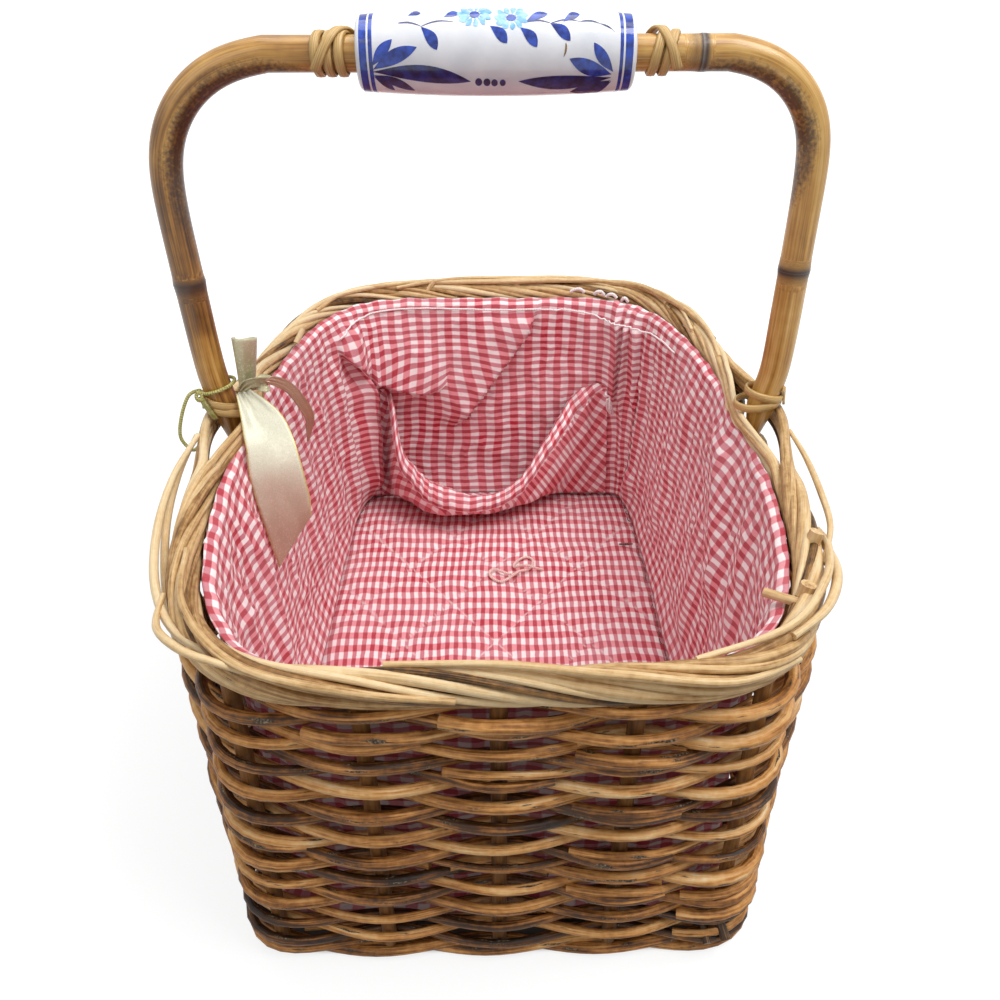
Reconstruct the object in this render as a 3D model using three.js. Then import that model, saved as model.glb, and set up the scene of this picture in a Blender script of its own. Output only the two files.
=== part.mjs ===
// Open wicker picnic basket: a woven wall on upright stakes, a rolled rim, a bent cane handle with a
// loose ceramic grip, and a checked cloth lining with a floor pad and a back pocket.
// Millimetres, +Z up. The origin is the middle of the base on the ground, +X runs across between the
// handle's legs and +Y runs along the basket to its back.
import * as THREE from "three";

// Clearance between pieces that touch
const fit = 0.35;

// Wall: half sizes of the stakes' line and the squareness of its plan, at the base and at the rim's
// middle height. The handle spreads the rim, which narrows towards its two ends
const baseHalfWidth = 118.6;
const baseHalfLength = 186.5;
const basePlanPower = 10;
const rimHalfWidth = 138;
const rimHalfLength = 194.5;
const rimPlanPower = 6;
const rimEndNarrowing = 24;
const rimHeight = 170;

// Stakes stand at even steps round the wall, six to a quarter, and the handle takes two of the places
const quarterStakes = 6;
const stakeRadius = 3.5;

// Weaving rods: two chase each other, one round in front of the odd stakes and one of the even
const weaverRadius = 2.4;
const rowPitch = 7;
const firstRowGap = 0.6;
const weaverCornerEase = 0.5;
const rodsPerChaser = 4;
const climbStakes = 6;

// Foot ring, base sticks and woven base mat
const footWidth = 9;
const footHeight = 8.5;
const stickWidth = 12;
const stickThickness = 4;
const stickSpacing = 62;
const stickHalfLength = 150;
const matThickness = 5.2;

// Rolled rim of four strands that twist round each other by half turns between the legs, and part beside
// each leg
const strandRadius = 2.45;
const rimRollHalfWidth = 3.95;
const rimRollHalfHeight = 5.6;
const rimHalfTurns = 5;
const rimPartLength = 62;
const rimPlainLength = 52;

// Cane handle: its legs lean out from the rim and then stand straight, the left one a little splayed
const caneRadius = 7.25;
const legHalfSpan = 143.5;
const legLeanRise = 22;
const leftLegSplay = 3.75;
const handleRise = 165;
const handleBendRadius = 46;

// Ceramic grip and the cane strips wound beside it
const gripLength = 115;
const gripShift = 1.5;
const gripEndRadius = 14.5;
const gripMiddleRadius = 16.5;
const gripEdgeRound = 2.5;
const gripBoreClearance = 0.6;
const gripSlack = 5;
const stripThickness = 1.6;
const stripWidth = 4.2;
const stripGap = 0.7;
const gripWrapTurns = 3;
const lashingTurns = 1.5;

// Cloth lining, floor pad and back pocket
const linerThickness = 1.4;
const linerDrop = 4;
const linerFoldDepth = 2.2;
const linerFoldsPerStake = 1.5;
const linerFoldSpread = 1.7;
const padThickness = 8;
const padCrown = 1.6;
const pocketHalfWidth = 90;
const pocketHeight = 88;
const pocketSagForward = 54;
const pocketSagHeight = 20;
const clothThickness = 1.4;

// Ribbon, its tie and the loose cord
const ribbonThickness = 1;
const ribbonWidth = 27;
const ribbonFall = 72;
const ribbonCurlHeight = 28;
const ribbonCurlRadius = 6;
const ribbonPinchRadius = 2.6;
const tieRadius = 0.9;
const cordRadius = 0.9;

const stationCount = 4 * quarterStakes;
const leftLeg = stationCount / 2;
const lerp = THREE.MathUtils.lerp;

// A quarter of a plan as points and lengths along it, from the leg to the middle of the end
function planTable(halfWidth, halfLength, power, narrowing) {
  const samples = 240;
  const table = [];
  let length = 0;
  for (let i = 0; i <= samples; i += 1) {
    const share = i / samples;
    const angle = (Math.PI / 2) * (share ** 2 / (share ** 2 + (1 - share) ** 2));
    const along = Math.sin(angle) ** (2 / power);
    const across = Math.max(Math.cos(angle), 0) ** (2 / power);
    const point = new THREE.Vector2((halfWidth - narrowing * along ** 2) * across, halfLength * along);
    if (i > 0) length += point.distanceTo(table[i - 1].point);
    table.push({ point, length });
  }
  return table;
}
const basePlan = planTable(baseHalfWidth, baseHalfLength, basePlanPower, 0);
const rimPlan = planTable(rimHalfWidth, rimHalfLength, rimPlanPower, rimEndNarrowing);
const quarterLength = rimPlan[rimPlan.length - 1].length;
const stakeSpacing = quarterLength / quarterStakes;

// A plan's point for a station: stations count stakes from the right-hand leg towards the back
function planAt(table, station) {
  const turn = ((station / quarterStakes) % 4 + 4) % 4;
  const quarter = Math.floor(turn);
  const share = quarter % 2 === 0 ? turn - quarter : 1 - (turn - quarter);
  const wanted = share * table[table.length - 1].length;
  const next = Math.max(table.findIndex((entry) => entry.length >= wanted), 1);
  const a = table[next - 1];
  const b = table[next];
  const point = a.point.clone().lerp(b.point, (wanted - a.length) / (b.length - a.length));
  const signX = quarter === 0 || quarter === 3 ? 1 : -1;
  const signY = quarter < 2 ? 1 : -1;
  return point.multiply(new THREE.Vector2(signX, signY));
}

// The wall runs straight from the base's plan to the rim's. outward is the level distance from the
// stakes' line
function stakeLineAt(station, height) {
  return planAt(basePlan, station).lerp(planAt(rimPlan, station), height / rimHeight);
}
function wallAt(station, height, outward = 0) {
  const step = 0.04;
  const point = stakeLineAt(station, height);
  const ahead = stakeLineAt(station + step, height);
  const behind = stakeLineAt(station - step, height);
  const out = new THREE.Vector3(ahead.y - behind.y, behind.x - ahead.x, 0).normalize();
  const at = new THREE.Vector3(point.x, point.y, height);
  return { at: at.addScaledVector(out, outward), out };
}

// Closed skin over rings of points. loop joins the last ring to the first, else both ends get a cap
function skin(rings, loop) {
  const count = rings.length;
  const sides = rings[0].length;
  const positions = rings.flat().flatMap((point) => [point.x, point.y, point.z]);
  const index = [];
  const spans = loop ? count : count - 1;
  for (let i = 0; i < spans; i += 1) {
    const next = (i + 1) % count;
    for (let k = 0; k < sides; k += 1) {
      const k2 = (k + 1) % sides;
      const a = i * sides + k;
      const b = i * sides + k2;
      const c = next * sides + k2;
      const d = next * sides + k;
      index.push(a, b, c, a, c, d);
    }
  }
  if (!loop) {
    const end = (count - 1) * sides;
    for (let k = 1; k < sides - 1; k += 1) {
      index.push(0, k + 1, k, end, end + k, end + k + 1);
    }
  }
  const geometry = new THREE.BufferGeometry();
  geometry.setAttribute("position", new THREE.Float32BufferAttribute(positions, 3));
  geometry.setIndex(index);
  geometry.computeVertexNormals();
  return geometry;
}

function round(radius, sides) {
  return Array.from({ length: sides }, (_, k) => {
    const angle = (2 * Math.PI * (k + 0.5)) / sides;
    return new THREE.Vector2(radius * Math.cos(angle), radius * Math.sin(angle));
  });
}

function flatStrip(thickness, width) {
  const t = thickness / 2;
  const w = width / 2;
  return [
    new THREE.Vector2(t, -w),
    new THREE.Vector2(t, w),
    new THREE.Vector2(-t, w),
    new THREE.Vector2(-t, -w),
  ];
}

// Skin along a path of points, each with the direction that the section's first axis takes and,
// where it is given, a factor on the section's size
function sweep(section, path, loop) {
  const count = path.length;
  const rings = path.map(({ at, out, size = 1 }, i) => {
    const before = path[loop ? (i + count - 1) % count : Math.max(i - 1, 0)].at;
    const after = path[loop ? (i + 1) % count : Math.min(i + 1, count - 1)].at;
    const along = after.clone().sub(before).normalize();
    const first = out.clone().addScaledVector(along, -out.dot(along)).normalize();
    const second = new THREE.Vector3().crossVectors(along, first);
    return section.map((p) => at.clone()
      .addScaledVector(first, p.x * size)
      .addScaledVector(second, p.y * size));
  });
  return skin(rings, loop);
}

const basket = new THREE.Group();

function add(parent, name, geometry, color, roughness) {
  const material = new THREE.MeshStandardMaterial({ color, roughness, metalness: 0 });
  const mesh = new THREE.Mesh(geometry, material);
  mesh.name = name;
  parent.add(mesh);
  return mesh;
}

const willowColors = [0x8f6b3c, 0x9d7844, 0xa98350, 0x7f5c32];
const rimColors = [0xd2b074, 0xc9a465, 0xbf9a5c, 0xd8ba82];
const caneColor = 0xc2954c;
const stripColor = 0xcfae72;
const ginghamColor = 0xdf7f88;
const ribbonColor = 0xd0c598;

// Foot ring and base: the ring and the sticks stand on the ground, the mat lies inside the ring
const footReach = footWidth / 2;
const footStepsPerStake = 2;
function footRing() {
  const rings = [];
  for (let i = 0; i < stationCount * footStepsPerStake; i += 1) {
    const station = i / footStepsPerStake;
    rings.push([
      wallAt(station, 0, footReach - 1).at,
      wallAt(station, 0, 1 - footReach).at,
      wallAt(station, footHeight * 0.5, -footReach).at,
      wallAt(station, footHeight, 1.5 - footReach).at,
      wallAt(station, footHeight, footReach - 1.5).at,
      wallAt(station, footHeight * 0.5, footReach).at,
    ]);
  }
  return skin(rings, true);
}
add(basket, "foot_ring", footRing(), 0x8a683c, 0.8);

// The mat is skinned over sections across the basket, from its front corners to its back ones
const matBottom = stickThickness + fit;
const matTop = matBottom + matThickness;
function mat() {
  const rings = [];
  const reach = Math.floor(1.5 * quarterStakes);
  for (let i = -reach; i <= reach; i += 1) {
    const { x, y } = wallAt(i / footStepsPerStake, 0, -footReach - fit).at;
    rings.push([
      new THREE.Vector3(-x, y, matTop),
      new THREE.Vector3(x, y, matTop),
      new THREE.Vector3(x, y, matBottom),
      new THREE.Vector3(-x, y, matBottom),
    ]);
  }
  return skin(rings, false);
}
add(basket, "base_mat", mat(), 0x94713f, 0.85);

["left", "middle", "right"].forEach((side, i) => {
  const stick = new THREE.BoxGeometry(stickWidth, 2 * stickHalfLength, stickThickness);
  const mesh = add(basket, `base_stick_${side}`, stick, 0x7b5a31, 0.8);
  mesh.position.set((i - 1) * stickSpacing, 0, stickThickness / 2);
});

// Rim: the strands' roll, which stops beside each leg and opens to let the cane through
const rimBottom = rimHeight - rimRollHalfHeight - strandRadius;
const rimTop = rimHeight + rimRollHalfHeight + strandRadius;
const rimOpening = (caneRadius + strandRadius + fit + 0.3) / Math.cos(Math.PI / 4);
function legDistance(station) {
  const around = ((station % leftLeg) + leftLeg) % leftLeg;
  return Math.min(around, leftLeg - around);
}
function rimRollWidth(station) {
  const parting = rimPartLength / stakeSpacing;
  const opening = THREE.MathUtils.smoothstep(parting - legDistance(station), 0, parting);
  return lerp(rimRollHalfWidth, rimOpening, opening);
}
function rimTwist(station) {
  const half = Math.floor(station / leftLeg);
  const within = station - half * leftLeg;
  const plain = rimPlainLength / stakeSpacing;
  const share = THREE.MathUtils.clamp((within - plain) / (leftLeg - 2 * plain), 0, 1);
  return Math.PI / 4 - Math.PI * rimHalfTurns * (half + share);
}
function rimStrand(strand) {
  const steps = stationCount * 2.5;
  const path = [];
  for (let i = 0; i < steps; i += 1) {
    const station = (i * stationCount) / steps;
    const angle = rimTwist(station) + (strand * Math.PI) / 2;
    const outward = rimRollWidth(station) * Math.cos(angle);
    const lift = rimRollHalfHeight * Math.sin(angle);
    const place = wallAt(station, rimHeight, outward);
    place.at.z += lift;
    path.push(place);
  }
  return sweep(round(strandRadius, 5), path, true);
}
for (let strand = 0; strand < 4; strand += 1) {
  add(basket, `rim_strand_${strand + 1}`, rimStrand(strand), rimColors[strand], 0.65);
}

// Stakes, from the foot ring to the underside of the rim
const stakeBottom = footHeight + fit;
const stakeTop = rimBottom - fit;
const sideStakes = Math.floor(quarterStakes / 2);
function stations(first, last, leg) {
  const list = Array.from({ length: last - first + 1 }, (_, i) => first + i);
  return list.filter((station) => station !== leg);
}
const stakePlaces = {
  right: stations(-sideStakes, sideStakes, 0),
  back: stations(sideStakes + 1, leftLeg - sideStakes - 1),
  left: stations(leftLeg - sideStakes, leftLeg + sideStakes, leftLeg),
  front: stations(leftLeg + sideStakes + 1, stationCount - sideStakes - 1),
};
for (const [side, places] of Object.entries(stakePlaces)) {
  places.forEach((station, i) => {
    const path = [wallAt(station, stakeBottom), wallAt(station, stakeTop)];
    add(basket, `stake_${side}_${i + 1}`, sweep(round(stakeRadius, 6), path, false), 0x84613a, 0.75);
  });
}

// Weaving rods. Each runs level and steps up two rows where the round closes, at the back right
const weaverNeed = stakeRadius + weaverRadius + fit;
const weaverReach = weaverNeed * Math.hypot(1, weaverNeed / (stakeSpacing / 2)) + weaverCornerEase;
const firstRow = footHeight + fit + weaverRadius + firstRowGap;
const weaveHeight = stakeTop - weaverRadius - firstRow + rowPitch;
const weaverRounds = Math.floor(weaveHeight / (2 * rowPitch));
const chaserStakes = weaverRounds * stationCount - climbStakes - 1;
const firstStation = climbStakes + 1;
function rowLevel(station) {
  const travelled = station - firstStation;
  const rounds = Math.floor(travelled / stationCount);
  const within = travelled - rounds * stationCount;
  const climb = Math.max(within - (stationCount - climbStakes), 0) / climbStakes;
  return 2 * rowPitch * (rounds + climb);
}
function weaver(chaser, rod) {
  const begins = Math.round((chaserStakes * rod) / rodsPerChaser);
  const length = Math.round((chaserStakes * (rod + 1)) / rodsPerChaser) - begins;
  const start = firstStation + chaser + begins;
  const path = [];
  for (let step = 0; step <= 2 * length; step += 1) {
    const short = step === 2 * length ? (2 * fit) / stakeSpacing + 0.03 : 0;
    const station = start + step / 2 - short;
    const atStake = step % 2 === 0;
    const front = (Math.round(station) + chaser) % 2 === 0;
    const outward = atStake ? (front ? weaverReach : -weaverReach) : 0;
    const height = firstRow + chaser * rowPitch + rowLevel(station);
    path.push(wallAt(station, height, outward));
  }
  return sweep(round(weaverRadius, 5), path, false);
}
["odd", "even"].forEach((name, chaser) => {
  for (let rod = 0; rod < rodsPerChaser; rod += 1) {
    add(basket, `weaver_${name}_${rod + 1}`, weaver(chaser, rod), willowColors[rod], 0.75);
  }
});

// Cane handle: shaved legs in the wall, full cane from the rim up
const legStraightHeight = rimTop + legLeanRise;
const handleTopHeight = rimTop + handleRise;
function handlePath() {
  const side = [];
  const shaved = stakeRadius / caneRadius;
  const lower = wallAt(0, stakeBottom).at;
  const upper = wallAt(0, rimBottom - fit).at;
  const rim = wallAt(0, rimTop).at;
  side.push({ x: lower.x, z: stakeBottom, size: shaved });
  side.push({ x: upper.x, z: rimBottom - fit, size: shaved });
  const widening = 0.4;
  const half = { x: lerp(upper.x, rim.x, widening), z: lerp(upper.z, rim.z, widening) };
  side.push({ ...half, size: lerp(shaved, 1, 0.6) });
  side.push({ x: rim.x, z: rimTop, size: 1 });
  side.push({ x: legHalfSpan, z: legStraightHeight, size: 1 });
  const bendSteps = 7;
  for (let i = 0; i <= bendSteps; i += 1) {
    const angle = (Math.PI / 2) * (i / bendSteps);
    const x = legHalfSpan - handleBendRadius * (1 - Math.cos(angle));
    const z = handleTopHeight - handleBendRadius * (1 - Math.sin(angle));
    side.push({ x, z, size: 1 });
  }
  const splay = (z) => (z > legStraightHeight ? leftLegSplay : 0);
  const mirrored = side.slice().reverse().map(({ x, z, size }) => ({ x: -x - splay(z), z, size }));
  return [...side, ...mirrored].map(({ x, z, size }) => ({
    at: new THREE.Vector3(x, 0, z),
    out: new THREE.Vector3(0, 1, 0),
    size,
  }));
}
add(basket, "handle_cane", sweep(round(caneRadius, 12), handlePath(), false), caneColor, 0.4);

// Ceramic grip, a turned barrel with a bore, loose on the top of the handle
function gripProfile() {
  const half = gripLength / 2;
  const bore = caneRadius + gripBoreClearance;
  const points = [new THREE.Vector2(bore, -half)];
  const edge = new THREE.Vector2(gripEndRadius - gripEdgeRound, -half);
  points.push(edge);
  const barrelSteps = 8;
  for (let i = 0; i <= barrelSteps; i += 1) {
    const along = lerp(-1, 1, i / barrelSteps);
    const radius = lerp(gripMiddleRadius, gripEndRadius, along ** 2);
    points.push(new THREE.Vector2(radius, along * (half - gripEdgeRound)));
  }
  points.push(new THREE.Vector2(gripEndRadius - gripEdgeRound, half));
  points.push(new THREE.Vector2(bore, half));
  points.push(points[0].clone());
  return points;
}
const gripTurner = new THREE.Group();
gripTurner.position.set(gripShift, 0, handleTopHeight);
gripTurner.rotation.z = -Math.PI / 2;
basket.add(gripTurner);
add(gripTurner, "ceramic_grip", new THREE.LatheGeometry(gripProfile(), 24), 0xe9ebf1, 0.12);

// Flat cane strip wound round a core: turns come from one helix
function windingPath(core, turns, place) {
  const steps = 16;
  const path = [];
  const pitch = stripWidth + stripGap;
  const radius = core + fit + stripThickness / 2;
  for (let i = 0; i <= turns * steps; i += 1) {
    const angle = (2 * Math.PI * i) / steps;
    path.push(place(angle, radius, (pitch * i) / steps));
  }
  return path;
}
function leastGap(path, name) {
  let least = Infinity;
  path.forEach((a, i) => {
    path.slice(i + 9).forEach((b) => {
      least = Math.min(least, a.at.distanceTo(b.at) - stripWidth);
    });
  });
  console.log(`${name}: least gap between turns ${least.toFixed(2)} mm`);
}
function addWinding(name, core, turns, place) {
  const path = windingPath(core, turns, place);
  leastGap(path, name);
  add(basket, name, sweep(flatStrip(stripThickness, stripWidth), path, false), stripColor, 0.5);
}
const wrapPitch = stripWidth + stripGap;
const gripLeftEnd = gripShift - gripLength / 2;
const gripRightEnd = gripShift + gripLength / 2;
function alongHandle(start, direction) {
  return (angle, radius, travelled) => {
    const out = new THREE.Vector3(0, Math.sin(angle), Math.cos(angle) * direction);
    const at = new THREE.Vector3(start + direction * travelled, 0, handleTopHeight);
    return { at: at.addScaledVector(out, radius), out };
  };
}
const wrapClear = stripWidth * 0.75;
const wrapLeftStart = gripLeftEnd - wrapClear;
const wrapRightStart = gripRightEnd + gripSlack + wrapClear;
addWinding("grip_wrap_left", caneRadius, gripWrapTurns, alongHandle(wrapLeftStart, -1));
addWinding("grip_wrap_right", caneRadius, gripWrapTurns - 1, alongHandle(wrapRightStart, 1));

// Lashings round the legs, just above the rim
const legAtRim = wallAt(0, rimTop).at.x;
function legAt(height) {
  return lerp(legAtRim, legHalfSpan, Math.min((height - rimTop) / legLeanRise, 1));
}
const legSlope = Math.abs(legHalfSpan - legAtRim) / legLeanRise;
const legLean = caneRadius * (Math.hypot(1, legSlope) - 1) + (legSlope * stripWidth) / 2;
const lashingLift = 2 * fit;
function upLeg(sign) {
  return (angle, radius, travelled) => {
    const height = rimTop + lashingLift + stripWidth / 2 + travelled;
    const out = new THREE.Vector3(sign * Math.cos(angle), Math.sin(angle), 0);
    const at = new THREE.Vector3(sign * legAt(height), 0, height);
    const reach = radius + legLean * Math.abs(Math.cos(angle));
    return { at: at.addScaledVector(out, reach), out };
  };
}
addWinding("lashing_right", caneRadius, lashingTurns, upLeg(1));
addWinding("lashing_left", caneRadius, lashingTurns, upLeg(-1));
const lashingTop = rimTop + lashingLift + lashingTurns * wrapPitch + stripWidth;

// Cloth lining inside the weave, gathered into folds at the four corners
function linerDepth(station) {
  const rimReach = rimRollWidth(station) * Math.cos(Math.PI / 4) + strandRadius;
  return Math.max(weaverReach + weaverRadius, rimReach) + 2 * fit;
}
const cornerPlace = (quarterStakes * baseHalfLength) / (baseHalfLength + baseHalfWidth);
function linerFold(station) {
  const corner = Math.max(0, 1 - Math.abs(legDistance(station) - cornerPlace) / linerFoldSpread);
  const wave = 0.5 - 0.5 * Math.cos(2 * Math.PI * station * linerFoldsPerStake);
  return linerFoldDepth * corner * wave;
}
const linerBottom = matTop + fit;
const linerTop = rimHeight - linerDrop;
const clothSteps = stationCount * 3;
function liner() {
  const steps = clothSteps;
  const rings = [];
  for (let i = 0; i < steps; i += 1) {
    const station = (i * stationCount) / steps;
    const outer = -linerDepth(station);
    const fold = linerFold(station);
    const middle = lerp(linerBottom, linerTop, 0.5);
    rings.push([
      wallAt(station, linerBottom, outer - linerThickness).at,
      wallAt(station, middle, outer - fold - linerThickness).at,
      wallAt(station, linerTop, outer - linerThickness).at,
      wallAt(station, linerTop, outer).at,
      wallAt(station, middle, outer - fold).at,
      wallAt(station, linerBottom, outer).at,
    ]);
  }
  return skin(rings, true);
}
add(basket, "liner_wall", liner(), ginghamColor, 0.9);

// Floor pad: crowned top, drawn-in edge
const padBottom = matTop + fit;
const padTop = padBottom + padThickness;
function pad() {
  const steps = clothSteps;
  const levels = [
    { inset: 5, height: padBottom },
    { inset: 0, height: padBottom + padThickness * 0.35 },
    { inset: 2.5, height: padTop - padCrown - 0.6 },
    { inset: 16, height: padTop - padCrown * 0.4 },
    { inset: 60, height: padTop },
  ];
  const rings = levels.map(({ inset, height }) => Array.from({ length: steps }, (_, i) => {
    const station = (i * stationCount) / steps;
    const edge = wallAt(station, padBottom, -linerDepth(station) - linerThickness - fit).at;
    const x = edge.x * (1 - inset / baseHalfWidth);
    const y = edge.y * (1 - inset / baseHalfLength);
    return new THREE.Vector3(x, y, height);
  }));
  return skin(rings, false);
}
add(basket, "floor_pad", pad(), 0xe38d95, 0.95);

// Back pocket: its ends hang on the lining, its middle sags forward on to the pad
function pocketPlace(share, climb) {
  const station = quarterStakes + (share * pocketHalfWidth) / stakeSpacing;
  const sag = 1 - share ** 2;
  const foot = new THREE.Vector2(clothThickness, padTop + clothThickness);
  const top = new THREE.Vector2(clothThickness, padTop + pocketHeight);
  const lip = new THREE.Vector2(pocketSagForward, padTop + pocketSagHeight);
  const belly = new THREE.Vector2(pocketSagForward * 0.95, padTop + clothThickness);
  const hung = new THREE.Vector2().lerpVectors(foot, top, climb);
  const slack = new THREE.QuadraticBezierCurve(foot, belly, lip).getPoint(climb);
  return { station, profile: hung.lerp(slack, sag) };
}
function pocketPoint(share, climb, side) {
  const here = pocketPlace(share, climb);
  const before = pocketPlace(share, Math.max(climb - 0.05, 0)).profile;
  const after = pocketPlace(share, Math.min(climb + 0.05, 1)).profile;
  const along = after.clone().sub(before).normalize();
  const depth = here.profile.x + along.y * side;
  const height = here.profile.y - along.x * side;
  const outward = -linerDepth(quarterStakes) - linerThickness - linerFold(here.station);
  const wall = wallAt(here.station, height, outward).at;
  return wall.setY(wall.y - depth);
}
function pocket() {
  const across = 20;
  const upSteps = 6;
  const half = clothThickness / 2;
  const rings = [];
  for (let i = 0; i <= across; i += 1) {
    const share = lerp(-1, 1, i / across);
    const front = [];
    const back = [];
    for (let k = 0; k <= upSteps; k += 1) {
      front.push(pocketPoint(share, k / upSteps, half));
      back.unshift(pocketPoint(share, k / upSteps, -half));
    }
    rings.push([...front, ...back]);
  }
  return skin(rings, false);
}
add(basket, "pocket", pocket(), 0xe5929a, 0.9);

// Ribbon tied to the left leg: a curled end that stands up, a tail that hangs inside and a short tail
const tieHeight = lashingTop + fit + tieRadius;
const knotX = -legAt(tieHeight) + caneRadius + fit + 2 * tieRadius + 2 * fit;
function ribbonCurl() {
  const steps = 10;
  const start = tieHeight - 3;
  const top = start + ribbonCurlHeight;
  const half = ribbonThickness / 2;
  const pinch = ribbonPinchRadius;
  const rings = [];
  for (let i = 0; i <= steps; i += 1) {
    const angle = lerp(-2.6, 2.6, i / steps);
    const direction = new THREE.Vector3(Math.cos(angle), Math.sin(angle), 0);
    const place = (reach, radius, height) => {
      const centre = new THREE.Vector3(knotX + reach + half, 0, height);
      return centre.addScaledVector(direction, radius);
    };
    rings.push([
      place(pinch, pinch - half, start),
      place(pinch, pinch + half, start),
      place(ribbonCurlRadius, ribbonCurlRadius + half, top),
      place(ribbonCurlRadius, ribbonCurlRadius - half, top),
    ]);
  }
  return skin(rings.reverse(), false);
}
add(basket, "ribbon_curl", ribbonCurl(), ribbonColor, 0.35);

// Ribbon strip through hand-set places: centre line, direction across and half width
function ribbonStrip(places) {
  const half = ribbonThickness / 2;
  const rings = places.map(({ at, across, halfWidth, drop = 0 }, i) => {
    const before = places[Math.max(i - 1, 0)].at;
    const after = places[Math.min(i + 1, places.length - 1)].at;
    const along = after.clone().sub(before).normalize();
    const wide = across.clone().addScaledVector(along, -across.dot(along)).normalize();
    const face = new THREE.Vector3().crossVectors(along, wide);
    const corner = (side, depth) => at.clone()
      .addScaledVector(wide, side * halfWidth)
      .addScaledVector(along, -side * drop)
      .addScaledVector(face, depth * half);
    return [corner(-1, -1), corner(1, -1), corner(1, 1), corner(-1, 1)];
  });
  return skin(rings, false);
}
const ribbonHalf = ribbonWidth / 2;
const ribbonX = -legAtRim + caneRadius;
const ribbonOrigin = new THREE.Vector3(ribbonX, 0, tieHeight);
const inFalls = (x, y, z) => new THREE.Vector3(x, y, z).multiplyScalar(ribbonFall).add(ribbonOrigin);
const tailAcross = new THREE.Vector3(1, 0, 0);
const tailDrop = 0.208 * ribbonFall;
const tailStart = new THREE.Vector3(knotX + 3.6, -ribbonPinchRadius - 1.5 * ribbonThickness - fit, tieHeight - 1);
const tailPlaces = [
  { at: tailStart, across: tailAcross, halfWidth: ribbonHalf * 0.25 },
  { at: inFalls(0.195, -0.222, -0.167), across: tailAcross, halfWidth: ribbonHalf * 0.74 },
  { at: inFalls(0.273, -0.361, -0.285), across: tailAcross, halfWidth: ribbonHalf * 0.89 },
  { at: inFalls(0.312, -0.458, -0.465), across: tailAcross, halfWidth: ribbonHalf },
  { at: inFalls(0.351, -0.5, -0.715), across: tailAcross, halfWidth: ribbonHalf },
  { at: inFalls(0.384, -0.514, -1), across: tailAcross, halfWidth: ribbonHalf * 0.89, drop: tailDrop },
];
add(basket, "ribbon_tail", ribbonStrip(tailPlaces), ribbonColor, 0.35);

const shortAcross = new THREE.Vector3(0.5, 0.85, 0);
const shortReach = 2 * (ribbonPinchRadius + ribbonThickness) + fit;
const shortStart = new THREE.Vector3(knotX + shortReach, 0, tieHeight - 1);
const shortPlaces = [
  { at: shortStart, across: shortAcross, halfWidth: ribbonHalf * 0.12 },
  { at: inFalls(0.206, 0, 0.039), across: shortAcross, halfWidth: ribbonHalf * 0.18 },
  { at: inFalls(0.352, 0.056, -0.05), across: shortAcross, halfWidth: ribbonHalf * 0.22 },
  { at: inFalls(0.459, 0.083, -0.267), across: shortAcross, halfWidth: ribbonHalf * 0.25 },
  { at: inFalls(0.453, 0.083, -0.39), across: shortAcross, halfWidth: ribbonHalf * 0.2 },
  { at: inFalls(0.43, 0.083, -0.5), across: shortAcross, halfWidth: ribbonHalf * 0.05 },
];
add(basket, "ribbon_short_tail", ribbonStrip(shortPlaces), 0xb08a62, 0.4);

// Tubes of a tie or cord along hand-set points
function cordTube(points, radius, steps) {
  const curve = new THREE.CatmullRomCurve3(points);
  const section = new THREE.Shape(round(radius, 8));
  return new THREE.ExtrudeGeometry(section, { steps, extrudePath: curve, bevelEnabled: false });
}
function tiePoints() {
  const radius = caneRadius + fit + tieRadius + legLean;
  const legX = -legAt(tieHeight);
  const ring = [];
  const turnSteps = 8;
  for (let i = 0; i <= turnSteps; i += 1) {
    const angle = lerp(1.6, -3, i / turnSteps);
    ring.push(new THREE.Vector3(legX + radius * Math.cos(angle), radius * Math.sin(angle), tieHeight));
  }
  const fromLeg = (x, y, z) => new THREE.Vector3(legX + x, y, tieHeight + z);
  return [
    ...ring,
    fromLeg(-radius - 5, -4, -4),
    fromLeg(-18.3, -8, -13.5),
    fromLeg(-20.3, -10, -24.5),
    fromLeg(-15.3, -11, -31.5),
    fromLeg(-10.8, -11, -28.5),
  ];
}
add(basket, "ribbon_tie", cordTube(tiePoints(), tieRadius, 28), 0x8f8c4a, 0.4);

// Loose cord on the floor pad, knotted into two loops: places on the pad, lifted where it crosses itself
const cordCrossing = 2 * cordRadius + 0.9;
const cordPlaces = [
  [16.4, 64.9, 0], [10.3, 65, 0], [4.3, 68.3, 0], [0, 70.2, 0], [-3.4, 68.1, 0], [-3.2, 63.1, 0],
  [0.8, 58.1, 0], [4.6, 57, 0], [9.8, 59.6, 0.4], [15.1, 63.6, 1], [19, 65.4, 1], [22.4, 68.6, 0.3],
  [25.4, 74.2, 0], [26.4, 80.1, 0], [24, 83.6, 0], [20.5, 83.9, 0], [16.2, 80.6, 0], [13.2, 75.6, 0],
  [13.6, 71.9, 0.3], [17.2, 69.9, 1.2], [22, 68.3, 1.75], [27.6, 68.2, 1], [32.5, 69.7, 0],
];
const cordPoints = cordPlaces.map(([x, y, lift]) => {
  const height = padTop + cordRadius + fit + lift * cordCrossing;
  return new THREE.Vector3(x, y, height);
});
add(basket, "floor_cord", cordTube(cordPoints, cordRadius, 48), 0xe9c9bd, 0.7);

export default basket;
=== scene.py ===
import bisect
import math
import random

import bpy
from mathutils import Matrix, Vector, noise


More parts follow.
